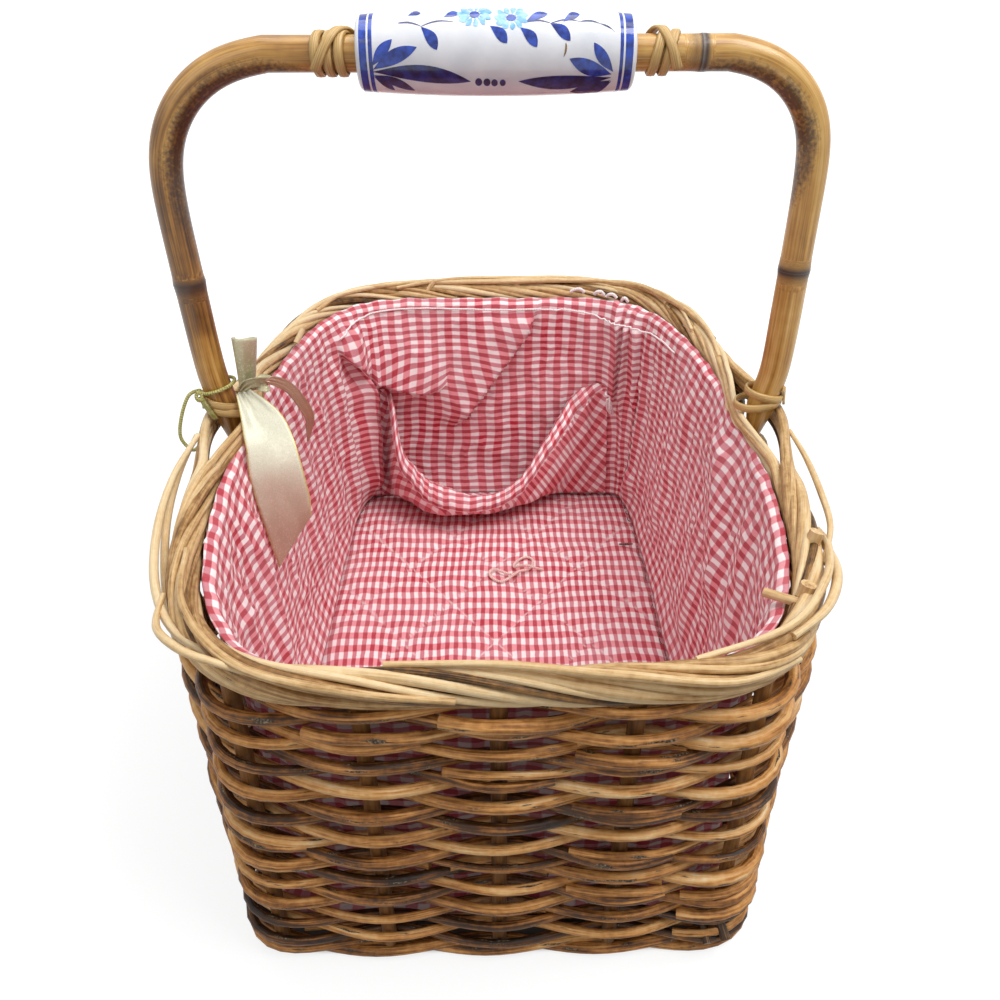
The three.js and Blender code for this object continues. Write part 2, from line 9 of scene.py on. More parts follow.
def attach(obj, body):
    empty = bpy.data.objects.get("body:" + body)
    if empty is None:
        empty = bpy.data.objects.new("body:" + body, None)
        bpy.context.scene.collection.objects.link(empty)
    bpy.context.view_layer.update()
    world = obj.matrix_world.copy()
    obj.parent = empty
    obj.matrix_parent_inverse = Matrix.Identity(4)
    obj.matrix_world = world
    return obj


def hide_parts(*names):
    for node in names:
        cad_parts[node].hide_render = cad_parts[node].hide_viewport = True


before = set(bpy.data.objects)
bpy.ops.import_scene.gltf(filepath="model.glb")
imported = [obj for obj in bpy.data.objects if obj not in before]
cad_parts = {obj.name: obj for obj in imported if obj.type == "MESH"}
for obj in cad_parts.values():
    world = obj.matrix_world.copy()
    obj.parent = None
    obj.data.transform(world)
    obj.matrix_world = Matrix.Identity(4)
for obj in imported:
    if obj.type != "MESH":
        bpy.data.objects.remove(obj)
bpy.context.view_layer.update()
scene = bpy.context.scene

# Sizes of the basket in millimetres, the same as those of the solids
MM = 0.001
FIT = 0.35
BASE_HALF_WIDTH = 118.6
BASE_HALF_LENGTH = 186.5
BASE_PLAN_POWER = 10
RIM_HALF_WIDTH = 138
RIM_HALF_LENGTH = 194.5
RIM_PLAN_POWER = 6
RIM_END_NARROWING = 24
RIM_HEIGHT = 170
STATIONS = 24
QUARTER = STATIONS // 4
STAKE_RADIUS = 3.5
WEAVER_RADIUS = 2.4
WEAVER_EASE = 0.5
ROW_PITCH = 7
ROUNDS = 11
CLIMB_STAKES = 6
FOOT_HEIGHT = 8.5
STICK_THICKNESS = 4
MAT_THICKNESS = 5.2
ROLL_HALF_WIDTH = 3.95
ROLL_HALF_HEIGHT = 5.6
STRAND_RADIUS = 2.45
RIM_TWISTS = 5
RIM_PART_LENGTH = 62
RIM_PLAIN_LENGTH = 52
CANE_RADIUS = 7.25
LEG_HALF_SPAN = 143.5
LEG_LEAN_RISE = 22
LEFT_LEG_SPLAY = 3.75
LEG_LEAN = 0.6
HANDLE_RISE = 165
STRIP_WIDTH = 4.2
STRIP_PITCH = 4.9
GRIP_LENGTH = 115
GRIP_SHIFT = 1.5
GRIP_END_RADIUS = 14.5
GRIP_MIDDLE_RADIUS = 16.5
GRIP_EDGE = 2.5
LINER_DROP = 4
PAD_THICKNESS = 8
POCKET_HALF_WIDTH = 90
POCKET_HEIGHT = 88
POCKET_FORWARD = 54
CLOTH = 1.4
RIBBON_WIDTH = 27
TIE_RADIUS = 0.9
CORD_RADIUS = 0.9
CHECK_SHORT = 5.25
CHECK_LONG = 11.3

RIM_BOTTOM = RIM_HEIGHT - ROLL_HALF_HEIGHT - STRAND_RADIUS
RIM_TOP = RIM_HEIGHT + ROLL_HALF_HEIGHT + STRAND_RADIUS
LEG_STRAIGHT = RIM_TOP + LEG_LEAN_RISE
HANDLE_TOP = RIM_TOP + HANDLE_RISE
MAT_BOTTOM = STICK_THICKNESS + FIT
PAD_BOTTOM = MAT_BOTTOM + MAT_THICKNESS + FIT
PAD_TOP = PAD_BOTTOM + PAD_THICKNESS
LINER_TOP = RIM_HEIGHT - LINER_DROP
STAKE_BOTTOM = FOOT_HEIGHT + FIT
FIRST_ROW = STAKE_BOTTOM + WEAVER_RADIUS + 0.6
LASHING_TOP = RIM_TOP + 2 * FIT + 1.5 * STRIP_PITCH + STRIP_WIDTH
TIE_HEIGHT = LASHING_TOP + FIT + TIE_RADIUS


def lerp(a, b, share):
    return a + (b - a) * share


def smooth(value, low, high):
    share = min(max((value - low) / (high - low), 0), 1)
    return share * share * (3 - 2 * share)


def bell(distance, width):
    return math.exp(-((distance / width) ** 2))


def ripple(x, y, seed):
    return noise.noise(Vector((x, y, seed)))


# Plan of the wall at its foot and at its rim: a quarter of each, measured along its length
def plan_table(half_width, half_length, power, narrowing, samples=240):
    points = []
    lengths = [0.0]
    for i in range(samples + 1):
        share = i / samples
        angle = math.pi / 2 * share**2 / (share**2 + (1 - share) ** 2)
        along = max(math.sin(angle), 0.0) ** (2 / power)
        across = max(math.cos(angle), 0.0) ** (2 / power)
        points.append(Vector(((half_width - narrowing * along**2) * across, half_length * along)))
        if i:
            lengths.append(lengths[-1] + (points[i] - points[i - 1]).length)
    return points, lengths


BASE_PLAN = plan_table(BASE_HALF_WIDTH, BASE_HALF_LENGTH, BASE_PLAN_POWER, 0)
RIM_PLAN = plan_table(RIM_HALF_WIDTH, RIM_HALF_LENGTH, RIM_PLAN_POWER, RIM_END_NARROWING)
STAKE_SPACING = RIM_PLAN[1][-1] / QUARTER
WEAVER_NEED = STAKE_RADIUS + WEAVER_RADIUS + FIT
WEAVER_REACH = WEAVER_NEED * math.hypot(1, WEAVER_NEED / (STAKE_SPACING / 2)) + WEAVER_EASE


# Stations count stakes from the right-hand leg towards the back
def plan_at(table, station):
    points, lengths = table
    turn = (station / QUARTER) % 4
    quarter = int(turn)
    share = turn - quarter
    wanted = lengths[-1] * (share if quarter % 2 == 0 else 1 - share)
    after = min(max(bisect.bisect_left(lengths, wanted), 1), len(lengths) - 1)
    part = (wanted - lengths[after - 1]) / (lengths[after] - lengths[after - 1])
    x, y = points[after - 1].lerp(points[after], part)
    return Vector((x if quarter in (0, 3) else -x, y if quarter < 2 else -y))


def stake_line(station, height):
    share = height / RIM_HEIGHT
    return plan_at(BASE_PLAN, station) * (1 - share) + plan_at(RIM_PLAN, station) * share


# Half the step, in stations, over which the wall's direction is taken
DIRECTION_STEP = 0.04


def wall_at(station, height, outward=0.0):
    x, y = stake_line(station, height)
    if outward:
        along = stake_line(station + DIRECTION_STEP, height) - stake_line(station - DIRECTION_STEP, height)
        along.normalize()
        x += outward * along.y
        y -= outward * along.x
    return Vector((x, y, height))


def leg_distance(station):
    around = station % (STATIONS / 2)
    return min(around, STATIONS / 2 - around)


CORNER_PLACE = QUARTER * BASE_HALF_LENGTH / (BASE_HALF_LENGTH + BASE_HALF_WIDTH)


def corner_weight(station):
    return bell(leg_distance(station) - CORNER_PLACE, 1.0)


def rim_opening(station):
    part = RIM_PART_LENGTH / STAKE_SPACING
    return smooth(part - leg_distance(station), 0, part)


LEG_AT_RIM = wall_at(0, RIM_TOP).x


def leg_at(height):
    return lerp(LEG_AT_RIM, LEG_HALF_SPAN, min((height - RIM_TOP) / LEG_LEAN_RISE, 1))


KNOT_X = -leg_at(TIE_HEIGHT) + CANE_RADIUS + 3 * FIT + 2 * TIE_RADIUS


# Colours are written as sRGB and turned to linear here
def linear(text):
    channels = [int(text[i : i + 2], 16) / 255 for i in (1, 3, 5)]
    return tuple(c / 12.92 if c <= 0.04045 else ((c + 0.055) / 1.055) ** 2.4 for c in channels) + (1.0,)


# Sets a node's inputs. feeds maps an input's name or place to a value or to the output that feeds it
def feed(tree, node, feeds):
    for key, value in feeds.items():
        if isinstance(value, bpy.types.NodeSocket):
            tree.links.new(value, node.inputs[key])
        else:
            node.inputs[key].default_value = value


def put(tree, kind, feeds=None, **settings):
    node = tree.nodes.new(kind)
    for name, value in settings.items():
        setattr(node, name, value)
    feed(tree, node, feeds or {})
    return node


# The nodes that come up most, each giving the output that the next one takes
def calc(tree, operation, *values, **settings):
    return put(tree, "ShaderNodeMath", dict(enumerate(values)), operation=operation, **settings).outputs[0]


def vector_calc(tree, operation, *values):
    return put(tree, "ShaderNodeVectorMath", dict(enumerate(values)), operation=operation).outputs


def remap(tree, value, low=0.0, high=1.0, to_low=0.0, to_high=1.0, **settings):
    feeds = dict(enumerate((value, low, high, to_low, to_high)))
    return put(tree, "ShaderNodeMapRange", feeds, **settings).outputs[0]


def mixed(tree, factor, first, second, **settings):
    feeds = {0: factor, 6: first, 7: second}
    return put(tree, "ShaderNodeMix", feeds, data_type="RGBA", **settings).outputs[2]


def cloud(tree, place, scale, detail, output="Fac"):
    feeds = {"Vector": place, "Scale": scale, "Detail": detail}
    return put(tree, "ShaderNodeTexNoise", feeds).outputs[output]


def stretch(tree, place, scale):
    return put(tree, "ShaderNodeMapping", {"Vector": place, "Scale": scale}).outputs[0]


def split(tree, place):
    return put(tree, "ShaderNodeSeparateXYZ", {0: place}).outputs


def attribute(tree, name, output="Fac"):
    return put(tree, "ShaderNodeAttribute", attribute_name=name).outputs[output]


def object_place(tree):
    return put(tree, "ShaderNodeTexCoord").outputs["Object"]


def cloth_place(tree):
    return put(tree, "ShaderNodeUVMap", uv_map="cloth").outputs[0]


def ramp(tree, value, stops):
    node = put(tree, "ShaderNodeValToRGB", {"Fac": value})
    elements = node.color_ramp.elements
    while len(elements) < len(stops):
        elements.new(0.5)
    for element, (place, colour) in zip(elements, stops):
        element.position = place
        element.color = linear(colour)
    return node.outputs["Color"]


# Adds amount times (value - 0.5) to a running value
def sway(tree, value, amount, onto):
    return calc(tree, "MULTIPLY_ADD", calc(tree, "ADD", value, -0.5), amount, onto)


def new_material(name):
    material = bpy.data.materials.new(name)
    material.use_nodes = True
    tree = material.node_tree
    tree.nodes.clear()
    bsdf = put(tree, "ShaderNodeBsdfPrincipled")
    put(tree, "ShaderNodeOutputMaterial", {"Surface": bsdf.outputs["BSDF"]})
    return material, tree, bsdf


# Feeds the shader, and a bump of the given strength and height in metres
def dress(tree, bsdf, feeds, relief, strength, distance):
    bump = put(tree, "ShaderNodeBump", {"Height": relief, "Strength": strength, "Distance": distance})
    feed(tree, bsdf, {**feeds, "Normal": bump.outputs[0]})


# Grain on a rod: its section's unit circle times lines, and its length in metres times lengthwise. The
# tint moves each rod to its own place in the grain
TINT_SHIFT = 97.0


def rod_grain(tree, lines, lengthwise, detail):
    around = split(tree, attribute(tree, "around", "Vector"))
    shift = calc(tree, "MULTIPLY", attribute(tree, "tint"), TINT_SHIFT)
    depth = calc(tree, "MULTIPLY_ADD", attribute(tree, "along"), lengthwise, shift)
    place = put(tree, "ShaderNodeCombineXYZ", {"X": around["X"], "Y": around["Y"], "Z": depth}).outputs[0]
    return cloud(tree, vector_calc(tree, "MULTIPLY", place, (lines, lines, 1.0))[0], 1.0, detail)


# Willow rods, boiled brown and split or left round: each rod has its own tint, streaks along its fibre,
# patches of dark bark and worn pale spots, under a thin dull varnish
def willow(name, stops, roughness, patch, streak, bark):
    material, tree, bsdf = new_material(name)
    place = object_place(tree)
    # Streaks are about 0.8 mm wide and 20 mm long, patches 20 to 60 mm long, spots about 3 mm
    fibres = rod_grain(tree, 3.0, 50.0, 3.0)
    patches = rod_grain(tree, 0.7, 36.0, 2.0)
    spots = cloud(tree, place, 330.0, 3.0)
    value = attribute(tree, "tint")
    for grain, amount in ((patches, patch), (fibres, streak), (spots, 0.28)):
        value = sway(tree, grain, amount, value)
    # Scabs of grey bark left on the rod, 8 to 25 mm long, with dark pits about 1 mm across
    scabs = remap(tree, rod_grain(tree, 1.3, 62.0, 4.0), bark, bark + 0.05)
    pits = cloud(tree, place, 1100.0, 2.0)
    rind = ramp(tree, pits, [(0.36, "#1c120b"), (0.52, "#4c3d2d"), (0.68, "#8d8069")])
    skin = mixed(tree, scabs, ramp(tree, value, stops), rind)
    rough = remap(tree, spots, to_low=roughness - 0.12, to_high=roughness + 0.15)
    feeds = {"Base Color": skin, "Roughness": rough, "Specular IOR Level": 0.3}
    dress(tree, bsdf, feeds, calc(tree, "MULTIPLY_ADD", fibres, 0.6, spots), 0.45, 0.0007)
    return material


WALL_STOPS = [
    (0.05, "#1b0e06"), (0.25, "#4a2b10"), (0.42, "#9a6532"), (0.58, "#cf9453"), (0.75, "#e6ba80"),
    (0.95, "#f2dfbd"),
]
RIM_STOPS = [(0.1, "#33200d"), (0.3, "#92693a"), (0.48, "#caa572"), (0.66, "#dec193"), (0.9, "#ead6b0")]
STAKE_STOPS = [(0.1, "#1e1008"), (0.4, "#4a2d14"), (0.65, "#7a5128"), (0.95, "#a9793f")]
wall_willow = willow("brown_willow", WALL_STOPS, 0.46, 0.75, 0.75, 0.61)
rim_willow = willow("peeled_willow", RIM_STOPS, 0.45, 0.45, 0.6, 0.71)
stake_willow = willow("barked_willow", STAKE_STOPS, 0.6, 0.5, 0.5, 0.7)


# Bent cane, varnished: golden with fine fibre lines along it, brown mottling, grey node rings and scorch
# speckled over the inside of the bends. Each bend is its side and its radius
BENDS = ((1, 43.0), (-1, 52.0))
CANE_STOPS = [(0.12, "#4f3012"), (0.32, "#8a5e26"), (0.5, "#b98840"), (0.66, "#cfa257"), (0.9, "#e4c48a")]


def bent_cane():
    material, tree, bsdf = new_material("varnished_cane")
    place = object_place(tree)
    axes = split(tree, place)
    mark = attribute(tree, "tint")
    # Fibres are about 0.8 mm wide, stains 30 mm long, mottling about 6 mm, scorch speckles about 1.2 mm
    fibres = rod_grain(tree, 9.0, 14.0, 3.0)
    stains = rod_grain(tree, 2.2, 30.0, 3.0)
    clouds = cloud(tree, place, 70.0, 5.0)
    speckle = cloud(tree, place, 620.0, 3.0)
    # The handle is painted darker towards its left-hand leg, and darker again along one stretch of that leg:
    # both are painted shade
    side = remap(tree, axes["X"], -0.12, 0.1, 0.46, 0.58)
    low = remap(tree, axes["Z"], 0.2, 0.225)
    high = remap(tree, axes["Z"], 0.33, 0.27)
    left = remap(tree, axes["X"], -0.11, -0.14)
    wear_and_shade = calc(tree, "MULTIPLY", calc(tree, "MULTIPLY", low, high), left)
    value = calc(tree, "MULTIPLY_ADD", wear_and_shade, -0.17, side)
    for grain, amount in ((fibres, 0.6), (stains, 0.7), (clouds, 0.4)):
        value = sway(tree, grain, amount, value)
    # The inside of each bend, measured from the bend's centre
    upright = put(tree, "ShaderNodeCombineXYZ", {"X": axes["X"], "Z": axes["Z"]}).outputs[0]
    insides = []
    for sign, radius in BENDS:
        outer = LEG_HALF_SPAN + (LEFT_LEG_SPLAY if sign < 0 else 0)
        centre = (sign * (outer - radius) * MM, 0.0, (HANDLE_TOP - radius) * MM)
        reach = vector_calc(tree, "DISTANCE", upright, centre)["Value"]
        insides.append(remap(tree, reach, (radius + 3.5) * MM, (radius - 5) * MM))
    scorch = calc(tree, "MAXIMUM", *insides)
    for grain, amount in ((speckle, 1.1), (clouds, 1.0)):
        scorch = sway(tree, grain, amount, scorch)
    scorch = remap(tree, scorch, 0.5, 1.05, 0.0, 0.88)
    dark = calc(tree, "MAXIMUM", scorch, mark, use_clamp=True)
    burnt = mixed(tree, dark, ramp(tree, value, CANE_STOPS), linear("#38200f"))
    # Marks above one are the pale grey scars of the node rings
    scar = remap(tree, mark, 1.15, 1.7, 0.0, 0.85)
    skin = mixed(tree, scar, burnt, linear("#a39c8e"))
    rough = remap(tree, clouds, to_low=0.26, to_high=0.46)
    dress(tree, bsdf, {"Base Color": skin, "Roughness": rough, "Coat Weight": 0.2}, value, 0.3, 0.0006)
    return material


cane = bent_cane()


# Split cane strip: straw, with darker and paler fibres about 0.4 mm wide and 15 mm long
def split_cane():
    material, tree, bsdf = new_material("split_cane")
    fibres = cloud(tree, stretch(tree, cloth_place(tree), (2400.0, 60.0, 1.0)), 1.0, 3.0)
    colour = ramp(tree, fibres, [(0.25, "#8f6a36"), (0.45, "#c29c5e"), (0.65, "#d8b981"), (0.85, "#e8d5ac")])
    rough = remap(tree, fibres, to_low=0.55, to_high=0.38)
    dress(tree, bsdf, {"Base Color": colour, "Roughness": rough}, fibres, 0.5, 0.0004)
    return material


strip_cane = split_cane()


# Glazed earthenware: a bluish white under a clear glossy glaze with a faint unevenness, and brushwork
# under it that runs from thick to thin colour
def glaze(name, low, high, scale):
    material, tree, bsdf = new_material(name)
    wash = cloud(tree, object_place(tree), scale, 3.0)
    colour = ramp(tree, wash, [(0.35, low), (0.65, high)])
    dress(tree, bsdf, {"Base Color": colour, "Roughness": 0.1, "IOR": 1.52}, wash, 0.05, 0.0004)
    return material


white_glaze = glaze("white_glaze", "#dfe2ea", "#eef0f5", 60.0)
cobalt_glaze = glaze("cobalt_brushwork", "#182a78", "#2f55c4", 260.0)
indigo_glaze = glaze("indigo_brushwork", "#1a1c48", "#2d3a86", 260.0)
sky_glaze = glaze("pale_blue_brushwork", "#62a8e2", "#a9dcf4", 260.0)
chip_glaze = glaze("worn_chip", "#6b4a2a", "#a98a5c", 400.0)


# Cotton gingham: red and white threads in checks of two sizes, pink where they cross, and a visible
# thread bump drawn at 0.7 mm, coarser than the real thread so that it shows
def gingham(name, stitched, reverse=False):
    material, tree, bsdf = new_material(name)
    coords = cloth_place(tree)
    wobble = vector_calc(tree, "ADD", cloud(tree, coords, 70.0, 2.0, "Color"), (-0.5, -0.5, -0.5))[0]
    feeds = {0: wobble, "Scale": 0.0018}
    wobble = put(tree, "ShaderNodeVectorMath", feeds, operation="SCALE").outputs[0]
    axes = split(tree, vector_calc(tree, "ADD", coords, wobble)[0])
    stripes = []
    for axis, period in (("X", CHECK_SHORT), ("Y", CHECK_LONG)):
        wave = calc(tree, "PINGPONG", calc(tree, "MULTIPLY", axes[axis], 1 / (period * MM)), 0.5)
        stripes.append(remap(tree, wave, 0.2, 0.3, interpolation_type="SMOOTHSTEP"))
    # The short stripes lie over white and over the long red stripes; slubs in the yarn, about 1.5 mm long,
    # make both uneven
    slubs = cloud(tree, coords, 700.0, 2.0)
    fine = sway(tree, slubs, 0.5, stripes[0])
    broad = sway(tree, slubs, 0.3, stripes[1])
    plain = ramp(tree, fine, [(0.05, "#fdf3f2"), (0.95, "#d0808a")])
    dyed = ramp(tree, fine, [(0.05, "#ea949c"), (0.95, "#b62438")])
    colour = mixed(tree, broad, plain, dyed, clamp_factor=True)
    wear_and_shade = remap(tree, cloud(tree, coords, 22.0, 3.0), 0.3, 0.75, 0.0, 0.2)
    colour = mixed(tree, wear_and_shade, colour, linear("#f1d9de"))
    if stitched:
        colour = mixed(tree, attribute(tree, "stitch"), colour, linear("#f6ecec"))
    # The reverse side is mixed towards dark red: painted shade
    if reverse:
        colour = mixed(tree, 0.45, colour, linear("#7c1a26"))
    thread_place = stretch(tree, coords, (1400.0, 1400.0, 1.0))
    threads = put(tree, "ShaderNodeTexChecker", {"Vector": thread_place, "Scale": 1.0}).outputs["Fac"]
    height = calc(tree, "MULTIPLY_ADD", threads, 0.25, cloud(tree, coords, 120.0, 3.0))
    feeds = {"Base Color": colour, "Roughness": 0.9, "Sheen Weight": 0.15, "Specular IOR Level": 0.2}
    dress(tree, bsdf, feeds, height, 0.35, 0.0014)
    return material


wall_gingham = gingham("cotton_gingham", False)
pad_gingham = gingham("quilted_gingham", True)
# The lining's outer side: a darker copy of the cloth as painted shade, so that the gaps in the weave look
# dark
shaded_gingham = gingham("shaded_gingham", False, True)


# Satin ribbon woven with metal glitter: soft sheen with small bright flecks, turning from one colour to the
# other down its length as painted reflection, with a bright metal thread along each edge
def satin(name, upper, lower, fleck, half_width, length):
    material, tree, bsdf = new_material(name)
    coords = cloth_place(tree)
    axes = split(tree, coords)
    # The change of colour down the length is painted reflection
    down = calc(tree, "MULTIPLY", axes["Y"], 1 / (length * MM))
    level = sway(tree, cloud(tree, coords, 70.0, 3.0), 0.35, down)
    body = ramp(tree, level, [(0.5, upper), (0.95, lower)])
    # Flecks about 0.6 mm across
    cells = put(tree, "ShaderNodeTexVoronoi", {"Vector": coords, "Scale": 1700.0}).outputs["Color"]
    chosen = split(tree, cells)["X"]
    flecked = mixed(tree, remap(tree, chosen, 0.6, 0.95, 0.0, 0.5), body, linear(fleck))
    side = calc(tree, "ABSOLUTE", axes["X"])
    near = remap(tree, side, (half_width - 0.9) * MM, (half_width - 0.5) * MM)
    edged = mixed(tree, near, flecked, linear("#d9c583"))
    rough = remap(tree, chosen, to_low=0.5, to_high=0.24)
    feeds = {"Base Color": edged, "Roughness": rough, "Metallic": 0.2, "Sheen Weight": 0.2}
    dress(tree, bsdf, feeds, chosen, 0.25, 0.0003)
    return material


champagne_satin = satin("champagne_satin", "#dcdbc4", "#cbb698", "#f6f4e2", 13.5, 92)
pale_satin = satin("pale_champagne_satin", "#b4ad86", "#d3cdab", "#f0edd6", 30, 30)
# The short tail's satin is a darker copy of the ribbon: painted shade on its back side
shaded_satin = satin("shaded_satin", "#9a6a52", "#b07c62", "#d3a58a", 20, 50)
olive_satin = satin("olive_satin", "#938e46", "#bdb873", "#e2dea6", 20, 60)


# Elastic cord: cotton over rubber, fuzzy, with a twist that comes round every 1.2 mm
def cotton_cord(name, low, high):
    material, tree, bsdf = new_material(name)
    twist = calc(tree, "SINE", calc(tree, "MULTIPLY", attribute(tree, "along"), 5200.0))
    fuzz = cloud(tree, object_place(tree), 1500.0, 2.0)
    value = calc(tree, "MULTIPLY_ADD", twist, 0.12, fuzz)
    colour = ramp(tree, value, [(0.3, low), (0.65, high)])
    dress(tree, bsdf, {"Base Color": colour, "Roughness": 0.85}, value, 0.4, 0.0002)
    return material


pale_cord = cotton_cord("pale_elastic", "#d8a9a0", "#f3dfd6")
white_cord = cotton_cord("white_elastic", "#dcd0d0", "#fbf5f4")
tie_cord = cotton_cord("olive_tie", "#8a853f", "#cdc886")
# Dark thread whose darkness is partly painted shade
dark_thread = cotton_cord("shaded_thread", "#3b2724", "#8a6f66")


# Rods: a tree that sweeps a round section along each path, as thick as the path's radius attribute says
def rod_tree():
    tree = bpy.data.node_groups.new("wicker_rods", "GeometryNodeTree")
    for name, kind in (("Geometry", "Geometry"), ("Sides", "Int"), ("Material", "Material")):
        tree.interface.new_socket(name, in_out="INPUT", socket_type="NodeSocket" + kind)
    tree.interface.new_socket("Geometry", in_out="OUTPUT", socket_type="NodeSocketGeometry")
    source = put(tree, "NodeGroupInput").outputs
    radius = put(tree, "GeometryNodeInputNamedAttribute", {"Name": "radius"}, data_type="FLOAT")
    path = put(tree, "GeometryNodeMeshToCurve", {"Mesh": source["Geometry"]})
    circle = {"Resolution": source["Sides"], "Radius": 1.0}
    section = put(tree, "GeometryNodeCurvePrimitiveCircle", circle)
    sweep = {
        "Curve": path.outputs["Curve"],
        "Profile Curve": section.outputs["Curve"],
        "Scale": radius.outputs["Attribute"],
        "Fill Caps": True,
    }
    swept = put(tree, "GeometryNodeCurveToMesh", sweep).outputs["Mesh"]
    soft = put(tree, "GeometryNodeSetShadeSmooth", {"Geometry": swept, "Shade Smooth": True}).outputs[0]
    real = put(tree, "GeometryNodeRealizeInstances", {"Geometry": soft}).outputs[0]
    cover = {"Geometry": real, "Material": source["Material"]}
    dressed = put(tree, "GeometryNodeSetMaterial", cover).outputs[0]
    put(tree, "NodeGroupOutput", {"Geometry": dressed})
    return tree


RODS = rod_tree()


def link(name, mesh):
    obj = bpy.data.objects.new(name, mesh)
    scene.collection.objects.link(obj)
    return obj


# A rod as thick and as dark at one end as at the other
MID_TINT = 0.5


def even_rod(line, radius, tint=MID_TINT):
    return line, [radius] * len(line), [tint] * len(line)


# Each rod is (points in millimetres, radii in millimetres, tints)
def rod_piece(name, rods, sides, material):
    mesh = bpy.data.meshes.new(name + "_paths")
    points = []
    edges = []
    values = {"radius": [], "tint": [], "along": []}
    for line, radii, tints in rods:
        start = len(points)
        travelled = 0.0
        for i, point in enumerate(line):
            if i:
                travelled += (point - line[i - 1]).length * MM
                edges.append((start + i - 1, start + i))
            points.append(point * MM)
            values["radius"].append(radii[i] * MM)
            values["tint"].append(tints[i])
            values["along"].append(travelled)
    mesh.from_pydata(points, edges, [])
    for key, numbers in values.items():
        layer = mesh.attributes.new(key, "FLOAT", "POINT")
        layer.data.foreach_set("value", numbers)
    paths = link(name + "_paths", mesh)
    modifier = paths.modifiers.new("rods", "NODES")
    modifier.node_group = RODS
    chosen = {"Sides": sides, "Material": material}
    for item in RODS.interface.items_tree:
        if item.in_out == "INPUT" and item.name in chosen:
            modifier[item.identifier] = chosen[item.name]
    evaluated = paths.evaluated_get(bpy.context.evaluated_depsgraph_get())
    solid = bpy.data.meshes.new_from_object(evaluated)
    solid.name = name
    section = []
    for i in range(len(solid.vertices)):
        angle = 2 * math.pi * (i % sides) / sides
        section += (math.cos(angle), math.sin(angle), 0.0)
    layer = solid.attributes.new("around", "FLOAT_VECTOR", "POINT")
    layer.data.foreach_set("vector", section)
    bpy.data.objects.remove(paths)
    bpy.data.meshes.remove(mesh)
    return link(name, solid)


def mesh_piece(name, points, faces, materials, uvs=None, slots=None):
    mesh = bpy.data.meshes.new(name)
    mesh.from_pydata([Vector(p) * MM for p in points], [], faces)
    for material in materials:
        mesh.materials.append(material)
    if uvs:
        layer = mesh.uv_layers.new(name="cloth")
        for corner in mesh.loops:
            layer.data[corner.index].uv = uvs[corner.vertex_index]
    if slots:
        mesh.polygons.foreach_set("material_index", slots)
    mesh.polygons.foreach_set("use_smooth", [True] * len(faces))
    mesh.update()
    return link(name, mesh)


def grid_faces(rows, columns, wrap=False):
    faces = []
    for r in range(rows - 1):
        for c in range(columns if wrap else columns - 1):
            c2 = (c + 1) % columns
            faces.append((r * columns + c, r * columns + c2, (r + 1) * columns + c2, (r + 1) * columns + c))
    return faces


# Gives cloth its thickness, in millimetres
def thicken(piece, thickness, offset=0.0):
    modifier = piece.modifiers.new("cloth", "SOLIDIFY")
    modifier.thickness = thickness * MM
    modifier.offset = offset
    return modifier


def settle(piece, body, slot, *nodes):
    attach(piece, body)
    if nodes:
        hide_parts(*nodes)
    return piece


def spline(points, steps):
    line = []
    last = len(points) - 1
    for i in range(last):
        p0, p1, p2, p3 = (points[min(max(k, 0), last)] for k in (i - 1, i, i + 1, i + 2))
        for s in range(steps):
            t = s / steps
            a = 2 * p1
            b = (p2 - p0) * t
            c = (2 * p0 - 5 * p1 + 4 * p2 - p3) * t**2
            d = (3 * p1 - p0 - 3 * p2 + p3) * t**3
            line.append((a + b + c + d) / 2)
    line.append(points[-1].copy())
    return line


# Flat strip along a line, with the direction that faces out at each point
STRIP_SECTION = ((-0.5, -0.2), (-0.35, 0.42), (0, 0.5), (0.35, 0.42), (0.5, -0.2), (0, -0.4))


def strip_piece(name, runs, width, thickness, material):
    points = []
    faces = []
    uvs = []
    count = len(STRIP_SECTION)
    for line, outs in runs:
        start = len(points)
        travelled = 0.0
        for i, point in enumerate(line):
            along = (line[min(i + 1, len(line) - 1)] - line[max(i - 1, 0)]).normalized()
            out = (outs[i] - along * outs[i].dot(along)).normalized()
            across = along.cross(out)
            if i:
                travelled += (point - line[i - 1]).length
            for w, t in STRIP_SECTION:
                points.append(point + across * w * width + out * t * thickness)
                uvs.append((w * width * MM, travelled * MM))
        for i in range(len(line) - 1):
            for k in range(count):
                a = start + i * count + k
                b = start + i * count + (k + 1) % count
                faces.append((a, a + count, b + count, b))
        faces.append(tuple(start + k for k in range(count)))
        end = start + (len(line) - 1) * count
        faces.append(tuple(end + k for k in reversed(range(count))))
    return mesh_piece(name, points, faces, [material], uvs)


# Camera from the photograph: its place, tilt and lens were fitted to the rim, the base and the handle
CAMERA_PLACE = (-0.0018, -0.4117, 0.3839)
CAMERA_TURN = (90 - 32.6, 0.1, -0.7)
CAMERA_SENSOR = 36
CAMERA_LENS = 31.66


def set_camera():
    data = bpy.data.cameras.new("camera")
    data.sensor_width = CAMERA_SENSOR
    data.lens = CAMERA_LENS
    data.clip_start = 0.01
    camera = bpy.data.objects.new("camera", data)
    camera.location = CAMERA_PLACE
    camera.rotation_euler = [math.radians(angle) for angle in CAMERA_TURN]
    scene.collection.objects.link(camera)
    scene.camera = camera


set_camera()


CORD_PLACES = [
    (16.4, 64.9, 0), (10.3, 65, 0), (4.3, 68.3, 0), (0, 70.2, 0), (-3.4, 68.1, 0), (-3.2, 63.1, 0),
    (0.8, 58.1, 0), (4.6, 57, 0), (9.8, 59.6, 0.4), (15.1, 63.6, 1), (19, 65.4, 1), (22.4, 68.6, 0.3),
    (25.4, 74.2, 0), (26.4, 80.1, 0), (24, 83.6, 0), (20.5, 83.9, 0), (16.2, 80.6, 0), (13.2, 75.6, 0),
    (13.6, 71.9, 0.3), (17.2, 69.9, 1.2), (22, 68.3, 1.75), (27.6, 68.2, 1), (32.5, 69.7, 0),
]
CORD_CROSSING = 2 * CORD_RADIUS + 0.9


